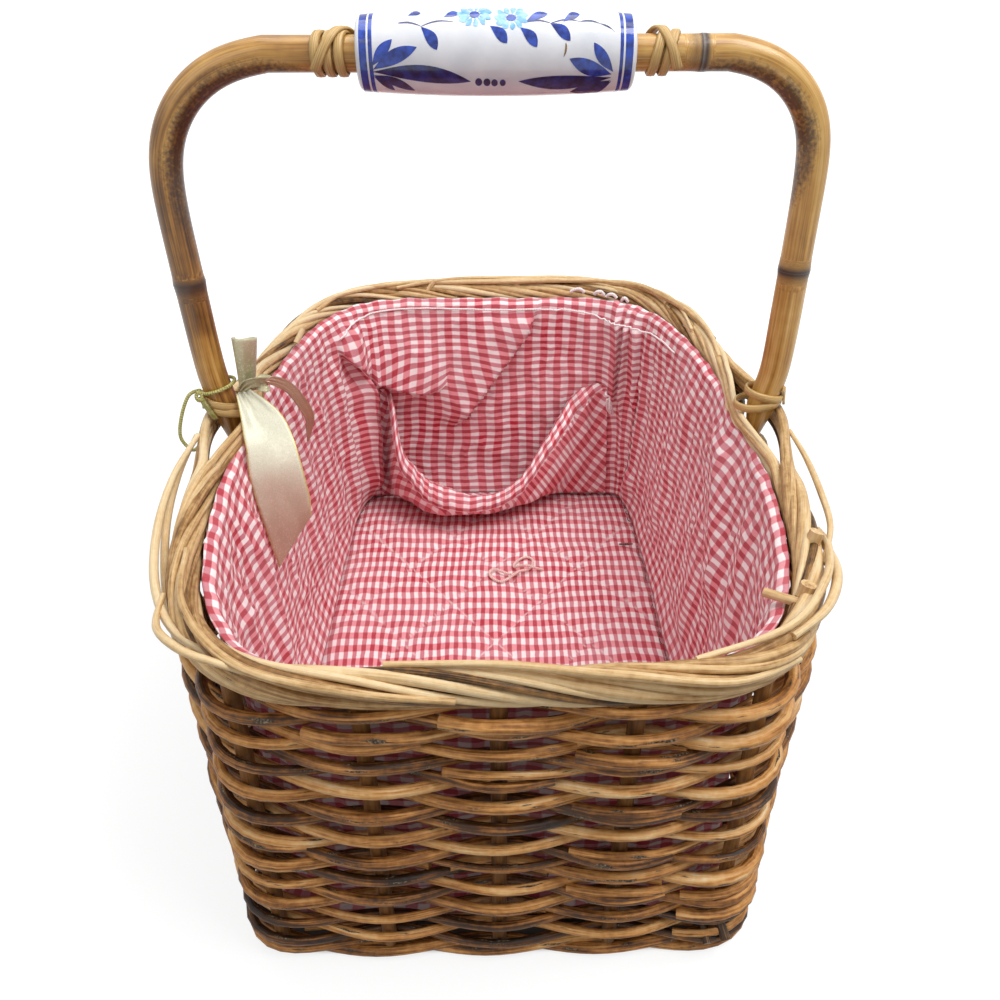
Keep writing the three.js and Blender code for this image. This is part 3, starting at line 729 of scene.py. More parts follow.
def floor_cord():
    height = PAD_TOP + CORD_RADIUS + FIT
    points = [Vector((x, y, height + lift * CORD_CROSSING)) for x, y, lift in CORD_PLACES]
    line = spline(points, 6)
    piece = rod_piece("floor_cord_line", [even_rod(line, CORD_RADIUS)], 12, pale_cord)
    settle(piece, "basket", "floor_cord", "floor_cord")


# The tie goes round the leg on a slant, and its end hangs through these places
TIE_SLANT = 2.2
TIE_HANG = ((-160, -8, 178), (-162, -10, 167), (-157, -11, 160), (-152.5, -11, 163))


def tie_line():
    radius = CANE_RADIUS + FIT + TIE_RADIUS + LEG_LEAN
    leg = -leg_at(TIE_HEIGHT)
    points = []
    for i in range(9):
        angle = lerp(1.6, -3, i / 8)
        x = leg + radius * math.cos(angle)
        points.append(Vector((x, radius * math.sin(angle), TIE_HEIGHT + TIE_SLANT * math.cos(angle))))
    points.append(Vector((leg - radius - 5, -4, TIE_HEIGHT - 4)))
    points += [Vector(place) for place in TIE_HANG]
    return spline(points, 6)


# The tie's knot lies on the outer side of the leg, and its other, flattened end hangs below it
TIE_END = ((0.6, -0.6, -0.6), (2.2, -1.6, -4.5), (4.4, -1.8, -9), (6.2, -1.6, -13))


def ribbon_tie():
    line = tie_line()
    piece = rod_piece("ribbon_tie_line", [even_rod(line, TIE_RADIUS)], 12, tie_cord)
    settle(piece, "basket", "tie_cord", "ribbon_tie")
    leg = -leg_at(TIE_HEIGHT)
    knot = Vector((leg - 7.2, -7.4, TIE_HEIGHT - 1.8))
    loop = []
    for i in range(25):
        angle = 4 * math.pi * i / 24
        across = math.cos(angle)
        up = math.sin(angle)
        loop.append(knot + Vector((1.5 * across, -0.8 + 0.5 * up, 1.7 * up - 0.05 * i)))
    knotted = rod_piece("ribbon_tie_knot", [even_rod(loop, 0.85, 0.55)], 10, tie_cord)
    settle(knotted, "basket", "tie_cord")
    end_line = spline([knot + Vector(place) for place in TIE_END], 5)
    outs = [Vector((-0.45, -0.85, 0.3))] * len(end_line)
    flat_end = strip_piece("ribbon_tie_end", [(end_line, outs)], 3.8, 0.6, olive_satin)
    settle(flat_end, "basket", "tie_cord")


floor_cord()
ribbon_tie()


# Woven wall: two chasing rods a row apart, pieced from shorter rods whose ends are tucked inside
def row_level(station):
    travelled = station - (CLIMB_STAKES + 1)
    rounds = math.floor(travelled / STATIONS)
    within = travelled - rounds * STATIONS
    climb = max(within - (STATIONS - CLIMB_STAKES), 0) / CLIMB_STAKES
    return 2 * ROW_PITCH * (rounds + climb)


# Stakes are shown a little thinner than the solids', so that the rods can bend round them
SHAVED_STAKE = 3.1
# A rod's ends reach this many stations past its last stakes; its start rises and its end dips this far
WEAVER_TUCK = 0.42
END_SHIFT = 2.6
WEAVER_SIZES = (1.8, 2.0, 2.15, 2.3, 2.4, 2.65)
# Lengths of the rods in stations
ROD_LENGTHS = (4, 5, 6, 6, 7, 8, 10)
# How far a rod wanders up and down, and how far it rises as it comes in front of a stake
WANDER = 2.3
FRONT_RISE = 1.9


# Most rods are brown, some are dark and a few are pale
DARK_BELOW = 0.16
PALE_ABOVE = 0.92


def rod_tint(pick):
    kind = pick.random()
    if kind < DARK_BELOW:
        return pick.uniform(0.2, 0.34)
    if kind > PALE_ABOVE:
        return pick.uniform(0.68, 0.85)
    return pick.gauss(0.5, 0.09)


def weaver_rod(start, end, chaser, level, pick):
    span = end - start + 2 * WEAVER_TUCK
    steps = round(span * 8)
    thick = pick.choice(WEAVER_SIZES)
    taper = pick.uniform(-0.6, 0.6)
    drift = pick.uniform(-0.6, 0.6)
    tint = rod_tint(pick)
    reach = SHAVED_STAKE + thick + 0.1
    line = []
    radii = []
    for i in range(steps + 1):
        station = start - WEAVER_TUCK + span * i / steps
        wave = math.cos(math.pi * station) * (1 if chaser == 0 else -1)
        shift = smooth(start + 0.5 - station, 0, 0.5) - smooth(station - end + 0.5, 0, 0.5)
        wander = WANDER * ripple(station * 0.55, start * 3.7, chaser * 9.1)
        height = FIRST_ROW + chaser * ROW_PITCH + level(station) + END_SHIFT * shift + wander + drift
        height += FRONT_RISE * wave
        height = min(max(height, FOOT_HEIGHT + 2.4), RIM_BOTTOM - 0.5)
        give = 1 + 0.12 * ripple(station * 0.9, start * 2.9, 6.4)
        line.append(wall_at(station, height, reach * wave * give))
        knot = 1 + 0.12 * ripple(station * 2.3, start * 1.7, 4.2)
        radii.append((thick + taper * (i / steps - 0.5)) * knot)
    return line, radii, [tint] * len(line)


# Short rods that fill the slopes where the rows begin and end
def filler_level(rounds):
    return lambda station: 2 * ROW_PITCH * rounds


def woven_wall():
    pick = random.Random(7)
    rods = []
    for chaser in (0, 1):
        station = CLIMB_STAKES + 1 + chaser
        last = station + ROUNDS * STATIONS - CLIMB_STAKES - 1
        while station < last:
            end = min(station + pick.choice(ROD_LENGTHS), last)
            rods.append(weaver_rod(station, end, chaser, row_level, pick))
            station = end
        rods.append(weaver_rod(4, 7 + chaser, chaser, filler_level(0), pick))
        rods.append(weaver_rod(STATIONS, STATIONS + 4, chaser, filler_level(ROUNDS - 1), pick))
    nodes = [f"weaver_{name}_{i}" for name in ("odd", "even") for i in range(1, 5)]
    settle(rod_piece("woven_wall", rods, 10, wall_willow), "basket", "weaver_willow", *nodes)


def wall_stakes():
    pick = random.Random(3)
    rods = []
    for station in range(STATIONS):
        if station % (STATIONS // 2) == 0:
            continue
        line = [wall_at(station, lerp(STAKE_BOTTOM, RIM_BOTTOM + 3, i / 12)) for i in range(13)]
        tint = pick.uniform(0.35, 0.75)
        rods.append(even_rod(line, SHAVED_STAKE * pick.uniform(0.95, 1.05), tint))
    counts = {"right": 6, "back": 5, "left": 6, "front": 5}
    nodes = [f"stake_{side}_{i + 1}" for side, count in counts.items() for i in range(count)]
    settle(rod_piece("wall_stakes", rods, 12, stake_willow), "basket", "stake_willow", *nodes)


woven_wall()
wall_stakes()


# Rolled rim: thick and thin strands that twist round each other. Beside each leg the twist stops, and they
# part to let it through. Each is (turn in degrees, thickness, how far out it lies)
STRANDS = (
    (0, 2.5, 1.0), (42, 1.6, 1.15), (84, 2.3, 1.0), (118, 1.5, 1.18), (152, 2.1, 1.06),
    (192, 2.55, 1.0), (230, 1.5, 1.16), (264, 2.2, 1.0), (300, 1.7, 1.14), (332, 1.5, 1.18),
)


def rim_place(station, phase, reach, sink):
    half = math.floor(station / (STATIONS / 2))
    within = station - half * STATIONS / 2
    plain = RIM_PLAIN_LENGTH / STAKE_SPACING
    share = min(max((within - plain) / (STATIONS / 2 - 2 * plain), 0), 1)
    angle = math.radians(phase) - math.pi * RIM_TWISTS * (half + share)
    inward = reach * (1 - 0.4 * sink)
    rolled = ROLL_HALF_WIDTH * math.cos(angle) * inward
    parted = math.copysign(CANE_RADIUS + STRAND_RADIUS + 0.2, math.cos(angle)) + 1.4 * math.cos(angle)
    lift = ROLL_HALF_HEIGHT * math.sin(angle) * inward
    place = wall_at(station, RIM_HEIGHT, lerp(rolled, parted, rim_opening(station)))
    place.z += lift
    return place


# How far, in stations, one strand's end lies beside the next one's start
RIM_LAP = 0.5
# How far a strand's place in the roll swings, in degrees
STRAND_SWING = 24


def rim_strand(start, end, phase, thick, reach, pick):
    lap = RIM_LAP
    span = end - start + 2 * lap
    steps = round(span * 10)
    tint = pick.gauss(0.54, 0.17)
    drift = pick.uniform(0, 40)
    line = []
    radii = []
    for i in range(steps + 1):
        station = start - lap + span * i / steps
        sink = max(smooth(start + lap - station, 0, 2 * lap), smooth(station - end + lap, 0, 2 * lap))
        swing = STRAND_SWING * ripple(station * 0.45, drift, 6.0)
        place = rim_place(station, phase + swing, reach, sink)
        place.z += 1.2 * ripple(station * 0.5, phase * 0.1, 2.0)
        line.append(place)
        radii.append(thick * (1 - 0.25 * sink) * (1 + 0.1 * ripple(station * 1.9, drift, 3.0)))
    return line, radii, [tint] * len(line)


# Loose strands that stand off the rim, most of them at the left side and over the corners: places as
# (station, out, up)
LOOSE = (
    ((12.5, 9, 6), (13.2, 13, 4), (14.0, 13.5, 1), (14.8, 10.5, 0), (15.5, 6, 3), (16.1, 2, 6)),
    ((12.4, 12, 3), (13.0, 14.5, -1), (13.8, 12.5, -3), (14.7, 8, -5), (15.4, 6, -6)),
    ((15.0, 7, 2), (15.3, 10.5, 4), (15.55, 11.5, 7), (15.85, 9.5, 9), (16.1, 5.5, 8), (16.25, 3, 5)),
    ((3.2, -2, 8), (3.7, 3, 9.5), (4.2, 6.5, 7.5), (4.8, 8, 3), (5.4, 6.5, -2)),
    ((2.3, -5, 6), (3.0, 1, 9.5), (3.6, 5.5, 9), (4.1, 8, 4), (4.5, 8, -1)),
    ((21.3, 5, 3), (21.8, 10, 5), (22.4, 11.5, 4), (23.0, 11, 5), (23.5, 9, 6)),
    ((20.2, 2, 7), (20.6, 7, 8), (21.1, 9.5, 5), (21.6, 9, 0), (22.0, 6, -3)),
    ((8.9, -3, 6), (8.1, -1, 8.4), (7.1, 1, 8.6), (6.1, 2, 9.2), (5.3, 1, 9.6), (4.6, 0, 9), (4.1, 2, 5)),
    ((8.4, 4, 5), (7.6, 2, 8), (6.7, -1, 9.2), (5.8, -2.5, 10), (4.9, -2, 10.4), (4.2, 1, 9.6), (3.5, 4, 5)),
    ((7.4, -4, 7), (6.6, 0, 11), (5.6, 3, 10.6), (4.7, 3.5, 10), (3.8, 2, 8.5), (3.1, -2, 6)),
    ((9.6, 2, 5), (9.0, -1, 8), (8.3, -2, 8.4), (7.5, 0, 8), (6.8, 4, 6)),
    ((2.0, 4, 5), (2.6, 1, 9.5), (3.3, -1, 11), (4.0, 1, 10.5), (4.7, 4, 7), (5.2, 6, 3)),
    ((1.4, -3, 6), (2.0, 0, 9.5), (2.8, 3.5, 9.5), (3.5, 5, 6.5), (4.0, 6, 2)),
    ((14.6, -3, 8), (15.4, 1, 10), (16.2, 4, 8.5), (17.0, 6.5, 4), (17.7, 6, -1)),
    ((17.2, -3, 8), (18.0, 0, 10.5), (18.8, 4, 9), (19.6, 6.5, 4), (20.2, 6, -1)),
    ((19.4, -3.5, 7), (20.2, 0, 10.5), (20.9, 4.5, 9.5), (21.5, 7.5, 5), (21.9, 7, 0)),
)
# Cut ends that stand out of the rim and, two of them, out of the foot: start, end and thickness. Those at
# the foot still have their bark
STUBS = (
    ((127.0, -121.0, 168), (130.4, -119.2, 180.5), 3.1), ((114.0, -154.0, 167), (116.6, -153.0, 180), 3.1),
    ((102.8, -147.0, 171.5), (115.0, -158.5, 174.5), 1.9), ((96.5, -184.2, 20), (99.0, -192.5, 14.5), 2.2),
    ((90.0, -185.5, 16), (91.0, -193.0, 12.5), 2.0), ((20.0, 193.5, 174), (14.0, 195.5, 180.5), 1.8),
    ((-46.0, 191.5, 174), (-41.0, 194.0, 180.5), 1.8), ((-122.0, 100.0, 173), (-118.0, 106.0, 179.5), 1.8),
)
BARK_TINT = 0.14


def loose_rods(pick):
    rods = []
    for places in LOOSE:
        marks = [wall_at(s, RIM_HEIGHT + up, out) for s, out, up in places]
        line = spline(marks, 8)
        thick = pick.uniform(1.4, 2.1)
        tint = pick.uniform(0.45, 0.75)
        shares = [min(max(i / len(line), 0.12), 0.88) for i in range(len(line))]
        radii = [thick * (0.55 + 0.45 * math.sin(math.pi * share)) for share in shares]
        rods.append((line, radii, [tint] * len(line)))
    for start, end, thick in STUBS:
        line = [Vector(start).lerp(Vector(end), i / 6) for i in range(7)]
        tint = pick.uniform(0.45, 0.7) if start[2] > RIM_HEIGHT / 2 else BARK_TINT
        rods.append(even_rod(line, thick, tint))
    return rods


def rolled_rim():
    pick = random.Random(19)
    rods = []
    for phase, thick, reach in STRANDS:
        station = pick.uniform(2, 10)
        finish = station + STATIONS
        while station < finish - 0.01:
            end = min(station + pick.uniform(5, 10), finish)
            if finish - end < 4:
                end = finish
            rods.append(rim_strand(station, end, phase, thick, reach, pick))
            station = end
    rods += loose_rods(pick)
    nodes = [f"rim_strand_{i}" for i in range(1, 5)]
    settle(rod_piece("rolled_rim", rods, 12, rim_willow), "basket", "rim_willow", *nodes)


rolled_rim()


# Split ash sticks under the base, sawn flat, with grain lines about 1.4 mm apart and 70 mm long
def sawn_wood():
    material, tree, bsdf = new_material("sawn_ash")
    grain = cloud(tree, stretch(tree, object_place(tree), (700.0, 14.0, 700.0)), 1.0, 4.0)
    colour = ramp(tree, grain, [(0.3, "#5f4222"), (0.5, "#86643a"), (0.7, "#a58250")])
    rough = remap(tree, grain, to_low=0.8, to_high=0.6)
    dress(tree, bsdf, {"Base Color": colour, "Roughness": rough}, grain, 0.3, 0.0005)
    return material


# Foot: a pair of rods twisted from stake to stake, and the woven base with its sticks
FOOT_ROD = 2.5
BASE_ROD = 1.25
BASE_ROWS = 120
BASE_INSET = 5.5


def foot_and_base():
    rods = []
    for side in (0, 1):
        count = STATIONS * 8
        line = []
        for i in range(count + 1):
            station = i / 8
            angle = math.pi * (station + side)
            place = wall_at(station, 4.3, 2.7 * math.cos(angle))
            place.z += 1.6 * math.sin(angle)
            line.append(place)
        tint = 0.4 if side else 0.5
        rods.append(even_rod(line, FOOT_ROD, tint))
    settle(rod_piece("foot_pair", rods, 12, wall_willow), "basket", "base_willow", "foot_ring")
    rods = []
    middle = MAT_BOTTOM + MAT_THICKNESS / 2
    pick = random.Random(5)
    half_length = BASE_HALF_LENGTH - BASE_INSET
    for i in range(BASE_ROWS):
        y = lerp(-half_length + 1.5, half_length - 1.5, i / (BASE_ROWS - 1))
        share = abs(y) / half_length
        half_width = (BASE_HALF_WIDTH - BASE_INSET) * (1 - share**BASE_PLAN_POWER) ** (1 / BASE_PLAN_POWER)
        line = []
        for k in range(33):
            x = lerp(-half_width, half_width, k / 32)
            wave = 1.3 * math.cos(math.pi * (x / 31 + i))
            line.append(Vector((x, y, middle + wave)))
        tint = pick.uniform(0.35, 0.65)
        rods.append(even_rod(line, BASE_ROD, tint))
    settle(rod_piece("base_weave", rods, 6, wall_willow), "basket", "base_willow", "base_mat")
    stick_wood = sawn_wood()
    for side in ("left", "middle", "right"):
        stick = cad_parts[f"base_stick_{side}"]
        stick.data.materials.clear()
        stick.data.materials.append(stick_wood)


foot_and_base()


# Cane handle with swollen node rings: (side, height, how grey its scar is)
NODE_RINGS = ((-1, 245.0, 1.15), (1, 251.0, 1.75))
TOP_RING = 88.0
RING_SWELL = 0.45
RING_WIDTH = 2.4
SCAR_WIDTH = 1.6


# Steps of a side below the rim that stay straight, and how often the rest is smoothed
STRAIGHT_STEPS = 66
SMOOTHINGS = 60


def handle_side(radius, splay):
    shaved = STAKE_RADIUS / CANE_RADIUS
    lower = wall_at(0, STAKE_BOTTOM)
    upper = wall_at(0, RIM_BOTTOM - FIT)
    marks = [(lower.x, STAKE_BOTTOM, shaved), (upper.x, RIM_BOTTOM - FIT, shaved)]
    marks.append((LEG_AT_RIM, RIM_TOP, 1.0))
    outer = LEG_HALF_SPAN + splay
    marks += [(LEG_HALF_SPAN, LEG_STRAIGHT, 1.0), (outer, HANDLE_TOP - radius, 1.0)]
    side = []
    for (x0, z0, s0), (x1, z1, s1) in zip(marks, marks[1:]):
        for i in range(32):
            t = i / 32
            side.append((lerp(x0, x1, t), lerp(z0, z1, t), lerp(s0, s1, t)))
    for i in range(41):
        angle = math.pi / 2 * i / 40
        x = outer - radius * (1 - math.cos(angle))
        z = HANDLE_TOP - radius * (1 - math.sin(angle))
        side.append((x, z, 1.0))
    for _ in range(SMOOTHINGS):
        trios = zip(side, side[1:], side[2:])
        middle = [tuple((a + 2 * b + c) / 4 for a, b, c in zip(*trio)) for trio in trios]
        side = side[:STRAIGHT_STEPS] + middle[STRAIGHT_STEPS - 1 :] + side[-1:]
    return side


def handle():
    sides = {sign: handle_side(radius, LEFT_LEG_SPLAY if sign < 0 else 0) for sign, radius in BENDS}
    right = sides[1]
    left = [(-x, z, s) for x, z, s in reversed(sides[-1])]
    top = [(lerp(right[-1][0], left[0][0], i / 120), HANDLE_TOP, 1.0) for i in range(1, 120)]
    whole = right + top + left
    line = [Vector((x, 0, z)) for x, z, s in whole]
    radii = []
    tints = []
    for x, z, size in whole:
        swell = 0.2 * ripple(x * 0.02, z * 0.02, 1.0)
        mark = 0.0
        for sign, height, grey in NODE_RINGS:
            if x * sign > LEG_HALF_SPAN - 3:
                swell += RING_SWELL * bell(z - height, RING_WIDTH)
                # Just below each ring a dark band is painted as shade under its swell
                shade = 0.75 * bell(z - height + 2.2, RING_WIDTH)
                mark = max(mark, grey * bell(z - height, SCAR_WIDTH), shade)
        # The top ring gets a grey scar and, beside it, a band of painted shade
        if z > HANDLE_TOP - 1 and x > 0:
            swell += 0.3 * bell(x - TOP_RING, 1.8)
            mark = max(mark, 1.7 * bell(x - TOP_RING, 1.4), 0.5 * bell(x - TOP_RING + 3.5, 2.2))
        radii.append(CANE_RADIUS * size + swell)
        tints.append(mark)
    piece = rod_piece("bent_handle", [(line, radii, tints)], 32, cane)
    settle(piece, "basket", "handle_cane", "handle_cane")


handle()


# Strips wound beside the grip, each turn a little askew, with the end crossing over the turns. Each is its
# name, where it starts, the way it runs, its turns and the angle it starts at
WRAPS = (("left", -56.0, -1, 3, 0.6), ("right", 64.0, 1, 2, 2.2))
WRAP_START = 3.1
WRAP_STEPS = 40
WRAP_SKEW = 1.5
# Width and thickness of the strip
WRAP_SECTION = (4.3, 1.7)


def grip_wraps():
    for name, start, direction, turns, lead in WRAPS:
        line = []
        outs = []
        for i in range(turns * WRAP_STEPS + 1):
            angle = 2 * math.pi * i / WRAP_STEPS + lead
            out = Vector((0, math.sin(angle), math.cos(angle) * direction))
            skew = WRAP_SKEW * math.sin(angle + 0.7)
            x = start + direction * (WRAP_START + STRIP_PITCH * i / WRAP_STEPS) + skew
            line.append(Vector((x, 0, HANDLE_TOP)) + out * (CANE_RADIUS + 0.9))
            outs.append(out)
        over = []
        over_outs = []
        for i in range(21):
            angle = lerp(-2.4, 0.6, i / 20) + math.pi / 2
            out = Vector((0, -math.sin(angle), math.cos(angle)))
            x = start + direction * lerp(2.6, WRAP_START + STRIP_PITCH * turns, i / 20)
            over.append(Vector((x, 0, HANDLE_TOP)) + out * (CANE_RADIUS + 2.3))
            over_outs.append(out)
        runs = [(line, outs), (over, over_outs)]
        piece = strip_piece(f"grip_wrap_{name}_strip", runs, *WRAP_SECTION, strip_cane)
        settle(piece, "basket", "cane_strip", f"grip_wrap_{name}")


# Lashings: loops of strip that hold the leg to the rim's inner strands. Each is (height at the inner side,
# height at the outer side, how far it reaches inwards)
LASHING_LOOPS = {1: ((9.0, 5.5, 2.2), (1.2, 4.5, 5.4)), -1: ((3.6, 8.0, 2.2), (0.6, 3.4, 4.6))}
# Width and thickness of the strip
LASHING_SECTION = (4.4, 1.5)


def lashing_loop(sign, inner, outer, reach):
    line = []
    outs = []
    for i in range(49):
        angle = 2 * math.pi * i / 48
        inward = max(-math.cos(angle), 0)
        height = RIM_TOP + lerp(outer, inner, 0.5 - 0.5 * math.cos(angle))
        radius = CANE_RADIUS + 1.2 + reach * inward**2
        out = Vector((sign * math.cos(angle), math.sin(angle), 0))
        line.append(Vector((sign * leg_at(height), 0, height)) + out * radius)
        outs.append(out)
    return line, outs


def lashings():
    for name, sign in (("right", 1), ("left", -1)):
        runs = [lashing_loop(sign, *loop) for loop in LASHING_LOOPS[sign]]
        outside = sign * (leg_at(RIM_TOP + 6) + CANE_RADIUS + 2.2)
        knot = [Vector((outside, -3 + 0.6 * k, RIM_TOP + 2 + 1.7 * k)) for k in range(6)]
        runs.append((knot, [Vector((sign, -0.3, 0.1))] * 6))
        tail = [Vector((outside - sign * 0.6 * k, -1 - 1.1 * k, RIM_TOP + 7 + 1.2 * k)) for k in range(5)]
        runs.append((tail, [Vector((sign, -0.6, 0.2))] * 5))
        piece = strip_piece(f"lashing_{name}_strip", runs, *LASHING_SECTION, strip_cane)
        settle(piece, "basket", "cane_strip", f"lashing_{name}")


grip_wraps()
lashings()


# Ceramic grip: a turned barrel, and brushwork laid on it as thin painted strokes
def grip_radius(x):
    half = GRIP_LENGTH / 2 - GRIP_EDGE
    return lerp(GRIP_MIDDLE_RADIUS, GRIP_END_RADIUS, min(abs(x) / half, 1) ** 2)


def grip_point(x, angle, radius):
    return (GRIP_SHIFT + x, -radius * math.cos(angle), HANDLE_TOP + radius * math.sin(angle))


def grip_barrel():
    half = GRIP_LENGTH / 2
    bore = CANE_RADIUS + 0.6
    profile = [(-half, bore), (-half, GRIP_END_RADIUS - GRIP_EDGE)]
    for i in range(1, 6):
        turn = math.pi / 2 * i / 6
        x = -half + GRIP_EDGE * (1 - math.cos(turn))
        profile.append((x, GRIP_END_RADIUS - GRIP_EDGE * (1 - math.sin(turn))))
    for i in range(33):
        x = lerp(-half + GRIP_EDGE, half - GRIP_EDGE, i / 32)
        profile.append((x, grip_radius(x)))
    profile += [(-x, r) for x, r in reversed(profile[:7])]
    around = 96
    points = []
    for x, radius in profile:
        points += [grip_point(x, 2 * math.pi * k / around, radius) for k in range(around)]
    faces = grid_faces(len(profile), around, wrap=True)
    last = (len(profile) - 1) * around
    for k in range(around):
        faces.append((last + k, last + (k + 1) % around, (k + 1) % around, k))
    piece = mesh_piece("grip_barrel", points, faces, [white_glaze])
    settle(piece, "grip", "glazed_ceramic", "ceramic_grip")


# Strokes are set by places across the grip's front: x along it and rise above its axis, in millimetres.
# Sprays and leaves are their two ends, their width and their colour
COBALT, INDIGO, SKY, CHIP = range(4)
PAINT_LIFT = 0.1
STEM_LIFT = 0.08
FLOWER_LIFT = 0.12
EYE_LIFT = 0.15
SPRAYS = (
    (-50.5, -4.5, -42.0, 5.0, 4.2, 0), (-50.2, -5.8, -32.0, 2.2, 5.4, 0),
    (-50.5, -6.7, -10.6, -10.4, 6.2, 1), (-50.2, -8.0, -34.0, -13.8, 3.2, 1),
    (-50.2, -8.4, -42.4, -13.6, 2.6, 1),
    (47.8, -6.9, 39.4, 3.6, 4.4, 0), (47.2, -7.9, 29.6, -2.2, 5.6, 0), (47.2, -9.1, 9.1, -10.4, 5.2, 1),
    (47.2, -10.2, 31.0, -14.6, 3.6, 1), (47.4, -10.6, 38.5, -15.2, 2.8, 1),
)
LEAVES = (
    (-30.2, 9.4, -23.9, 1.2, 4.4, 0), (-2.4, 9.6, 4.3, 3.5, 4.2, 0), (9.7, 9.0, 16.4, 2.1, 4.2, 0),
    (21.8, 10.6, 29.8, 4.3, 4.2, 0), (11.9, 11.0, 20.9, 14.0, 2.6, 0), (27.1, 11.2, 33.9, 13.9, 2.6, 0),
    (-35.5, 13.6, -30.6, 14.4, 1.6, 0), (-21.0, 13.0, -15.0, 14.2, 2.0, 0),
)
STEMS = (
    (-39.6, 10.8, -30.2, 9.6, -17.2, 11.2), (11.9, 11.0, 22.0, 10.6, 33.9, 11.2),
    (33.9, 11.2, 42.0, 10.4, 48.0, 7.2),
)
BANDS = ((-55.6, -52.6), (-51.8, -50.2), (50.2, 51.6), (52.4, 55.6))
DOTS = ((-7.3, -10.6, 1.45), (-3.9, -10.7, 1.45), (-0.8, -10.9, 1.35), (2.6, -10.9, 1.25))
PETALS = 11
FLOWERS = ((6.1, 12.6, 7.0), (-8.7, 13.8, 7.2))
# The pattern is turned this far up
EYE_TILT = math.radians(6)


def on_grip(x, rise, lift, turned):
    radius = grip_radius(x)
    angle = math.asin(min(max(rise / radius, -0.985), 0.985)) + EYE_TILT
    return grip_point(x, angle + (math.pi if turned else 0), radius + lift)


class Strokes:
    def __init__(self):
        self.points = []
        self.faces = []
        self.slots = []

    # Turns the face so that it points away from the grip's axis
    def lay(self, face, slot):
        a, b, c = (Vector(self.points[k]) for k in face[:3])
        out = Vector((0, a.y, a.z - HANDLE_TOP))
        turned = (b - a).cross(c - a).dot(out) < 0
        self.faces.append(face[::-1] if turned else face)
        self.slots.append(slot)

    def band(self, x0, x1, slot):
        start = len(self.points)
        around = 72
        for x in (x0, x1):
            radius = grip_radius(x) + 0.06
            if abs(x) > GRIP_LENGTH / 2 - GRIP_EDGE:
                beyond = abs(x) - (GRIP_LENGTH / 2 - GRIP_EDGE)
                radius -= GRIP_EDGE - math.sqrt(max(GRIP_EDGE**2 - beyond**2, 0))
            self.points += [grip_point(x, 2 * math.pi * k / around, radius) for k in range(around)]
        for face in grid_faces(2, around, wrap=True):
            self.lay(tuple(start + k for k in face), slot)

    def leaf(self, x0, h0, x1, h1, width, slot, turned, lift, blunt=1.3, pointed=False):
        start = len(self.points)
        length = math.hypot(x1 - x0, h1 - h0)
        nx, nh = -(h1 - h0) / length, (x1 - x0) / length
        steps = 14
        for i in range(steps + 1):
            t = i / steps
            swell = 4.5 * t**1.2 * (1 - t) if pointed else math.sin(math.pi * t**blunt) ** 0.8
            half = 0.5 * width * swell + 0.06
            bow = (0.03 if pointed else 0.08) * length * math.sin(math.pi * t)
            for side in (-1, -0.5, 0, 0.5, 1):
                x = lerp(x0, x1, t) + nx * (side * half + bow)
                rise = lerp(h0, h1, t) + nh * (side * half + bow)
                self.points.append(on_grip(x, rise, lift, turned))
        for face in grid_faces(steps + 1, 5):
            self.lay(tuple(start + k for k in face), slot)

    def dot(self, x, rise, size, slot, turned, lift, squash=1.0):
        start = len(self.points)
        self.points.append(on_grip(x, rise, lift, turned))
        for k in range(16):
            angle = 2 * math.pi * k / 16
            side = x + size * math.cos(angle)
            self.points.append(on_grip(side, rise + size * squash * math.sin(angle), lift, turned))
        for k in range(16):
            self.lay((start, start + 1 + (k + 1) % 16, start + 1 + k), slot)


def brushwork():
    strokes = Strokes()
    for x0, x1 in BANDS:
        strokes.band(x0, x1, COBALT)
    for turned in (False, True):
        for spray in SPRAYS:
            strokes.leaf(*spray, turned, PAINT_LIFT, pointed=True)
        for leaf in LEAVES:
            strokes.leaf(*leaf, turned, PAINT_LIFT)
        for x0, h0, x1, h1, x2, h2 in STEMS:
            strokes.leaf(x0, h0, x1, h1, 0.55, INDIGO, turned, STEM_LIFT, 0.75)
            strokes.leaf(x1, h1, x2, h2, 0.45, INDIGO, turned, STEM_LIFT, 0.75)
        for x, rise, size in DOTS:
            strokes.dot(x, rise, size, INDIGO, turned, FLOWER_LIFT)
        for x, rise, reach in FLOWERS:
            for k in range(PETALS):
                angle = 2 * math.pi * k / PETALS + 0.2
                dx = math.cos(angle)
                dh = 0.62 * math.sin(angle)
                inner = (x + 1.8 * dx, rise + 1.8 * dh)
                outer = (x + reach * dx, rise + reach * dh)
                strokes.leaf(*inner, *outer, 2.0, SKY, turned, FLOWER_LIFT, 1.5)
            strokes.dot(x, rise, 2.0, COBALT, turned, EYE_LIFT, 0.6)
        strokes.leaf(28.0, 3.6, 27.2, -1.6, 0.7, CHIP, turned, PAINT_LIFT, 0.75)
    materials = [cobalt_glaze, indigo_glaze, sky_glaze, chip_glaze]
    piece = mesh_piece("grip_brushwork", strokes.points, strokes.faces, materials, None, strokes.slots)
    settle(piece, "grip", "glazed_ceramic")


grip_barrel()
brushwork()


# Lining: cloth hung inside the weave, gathered at the corners, with a turned hem under the rim
def liner_depth(station):
    parted = CANE_RADIUS + STRAND_RADIUS + 0.65
    reach = lerp(ROLL_HALF_WIDTH, parted, rim_opening(station)) * math.cos(math.pi / 4) + STRAND_RADIUS
    return max(WEAVER_REACH + WEAVER_RADIUS, reach) + 2 * FIT


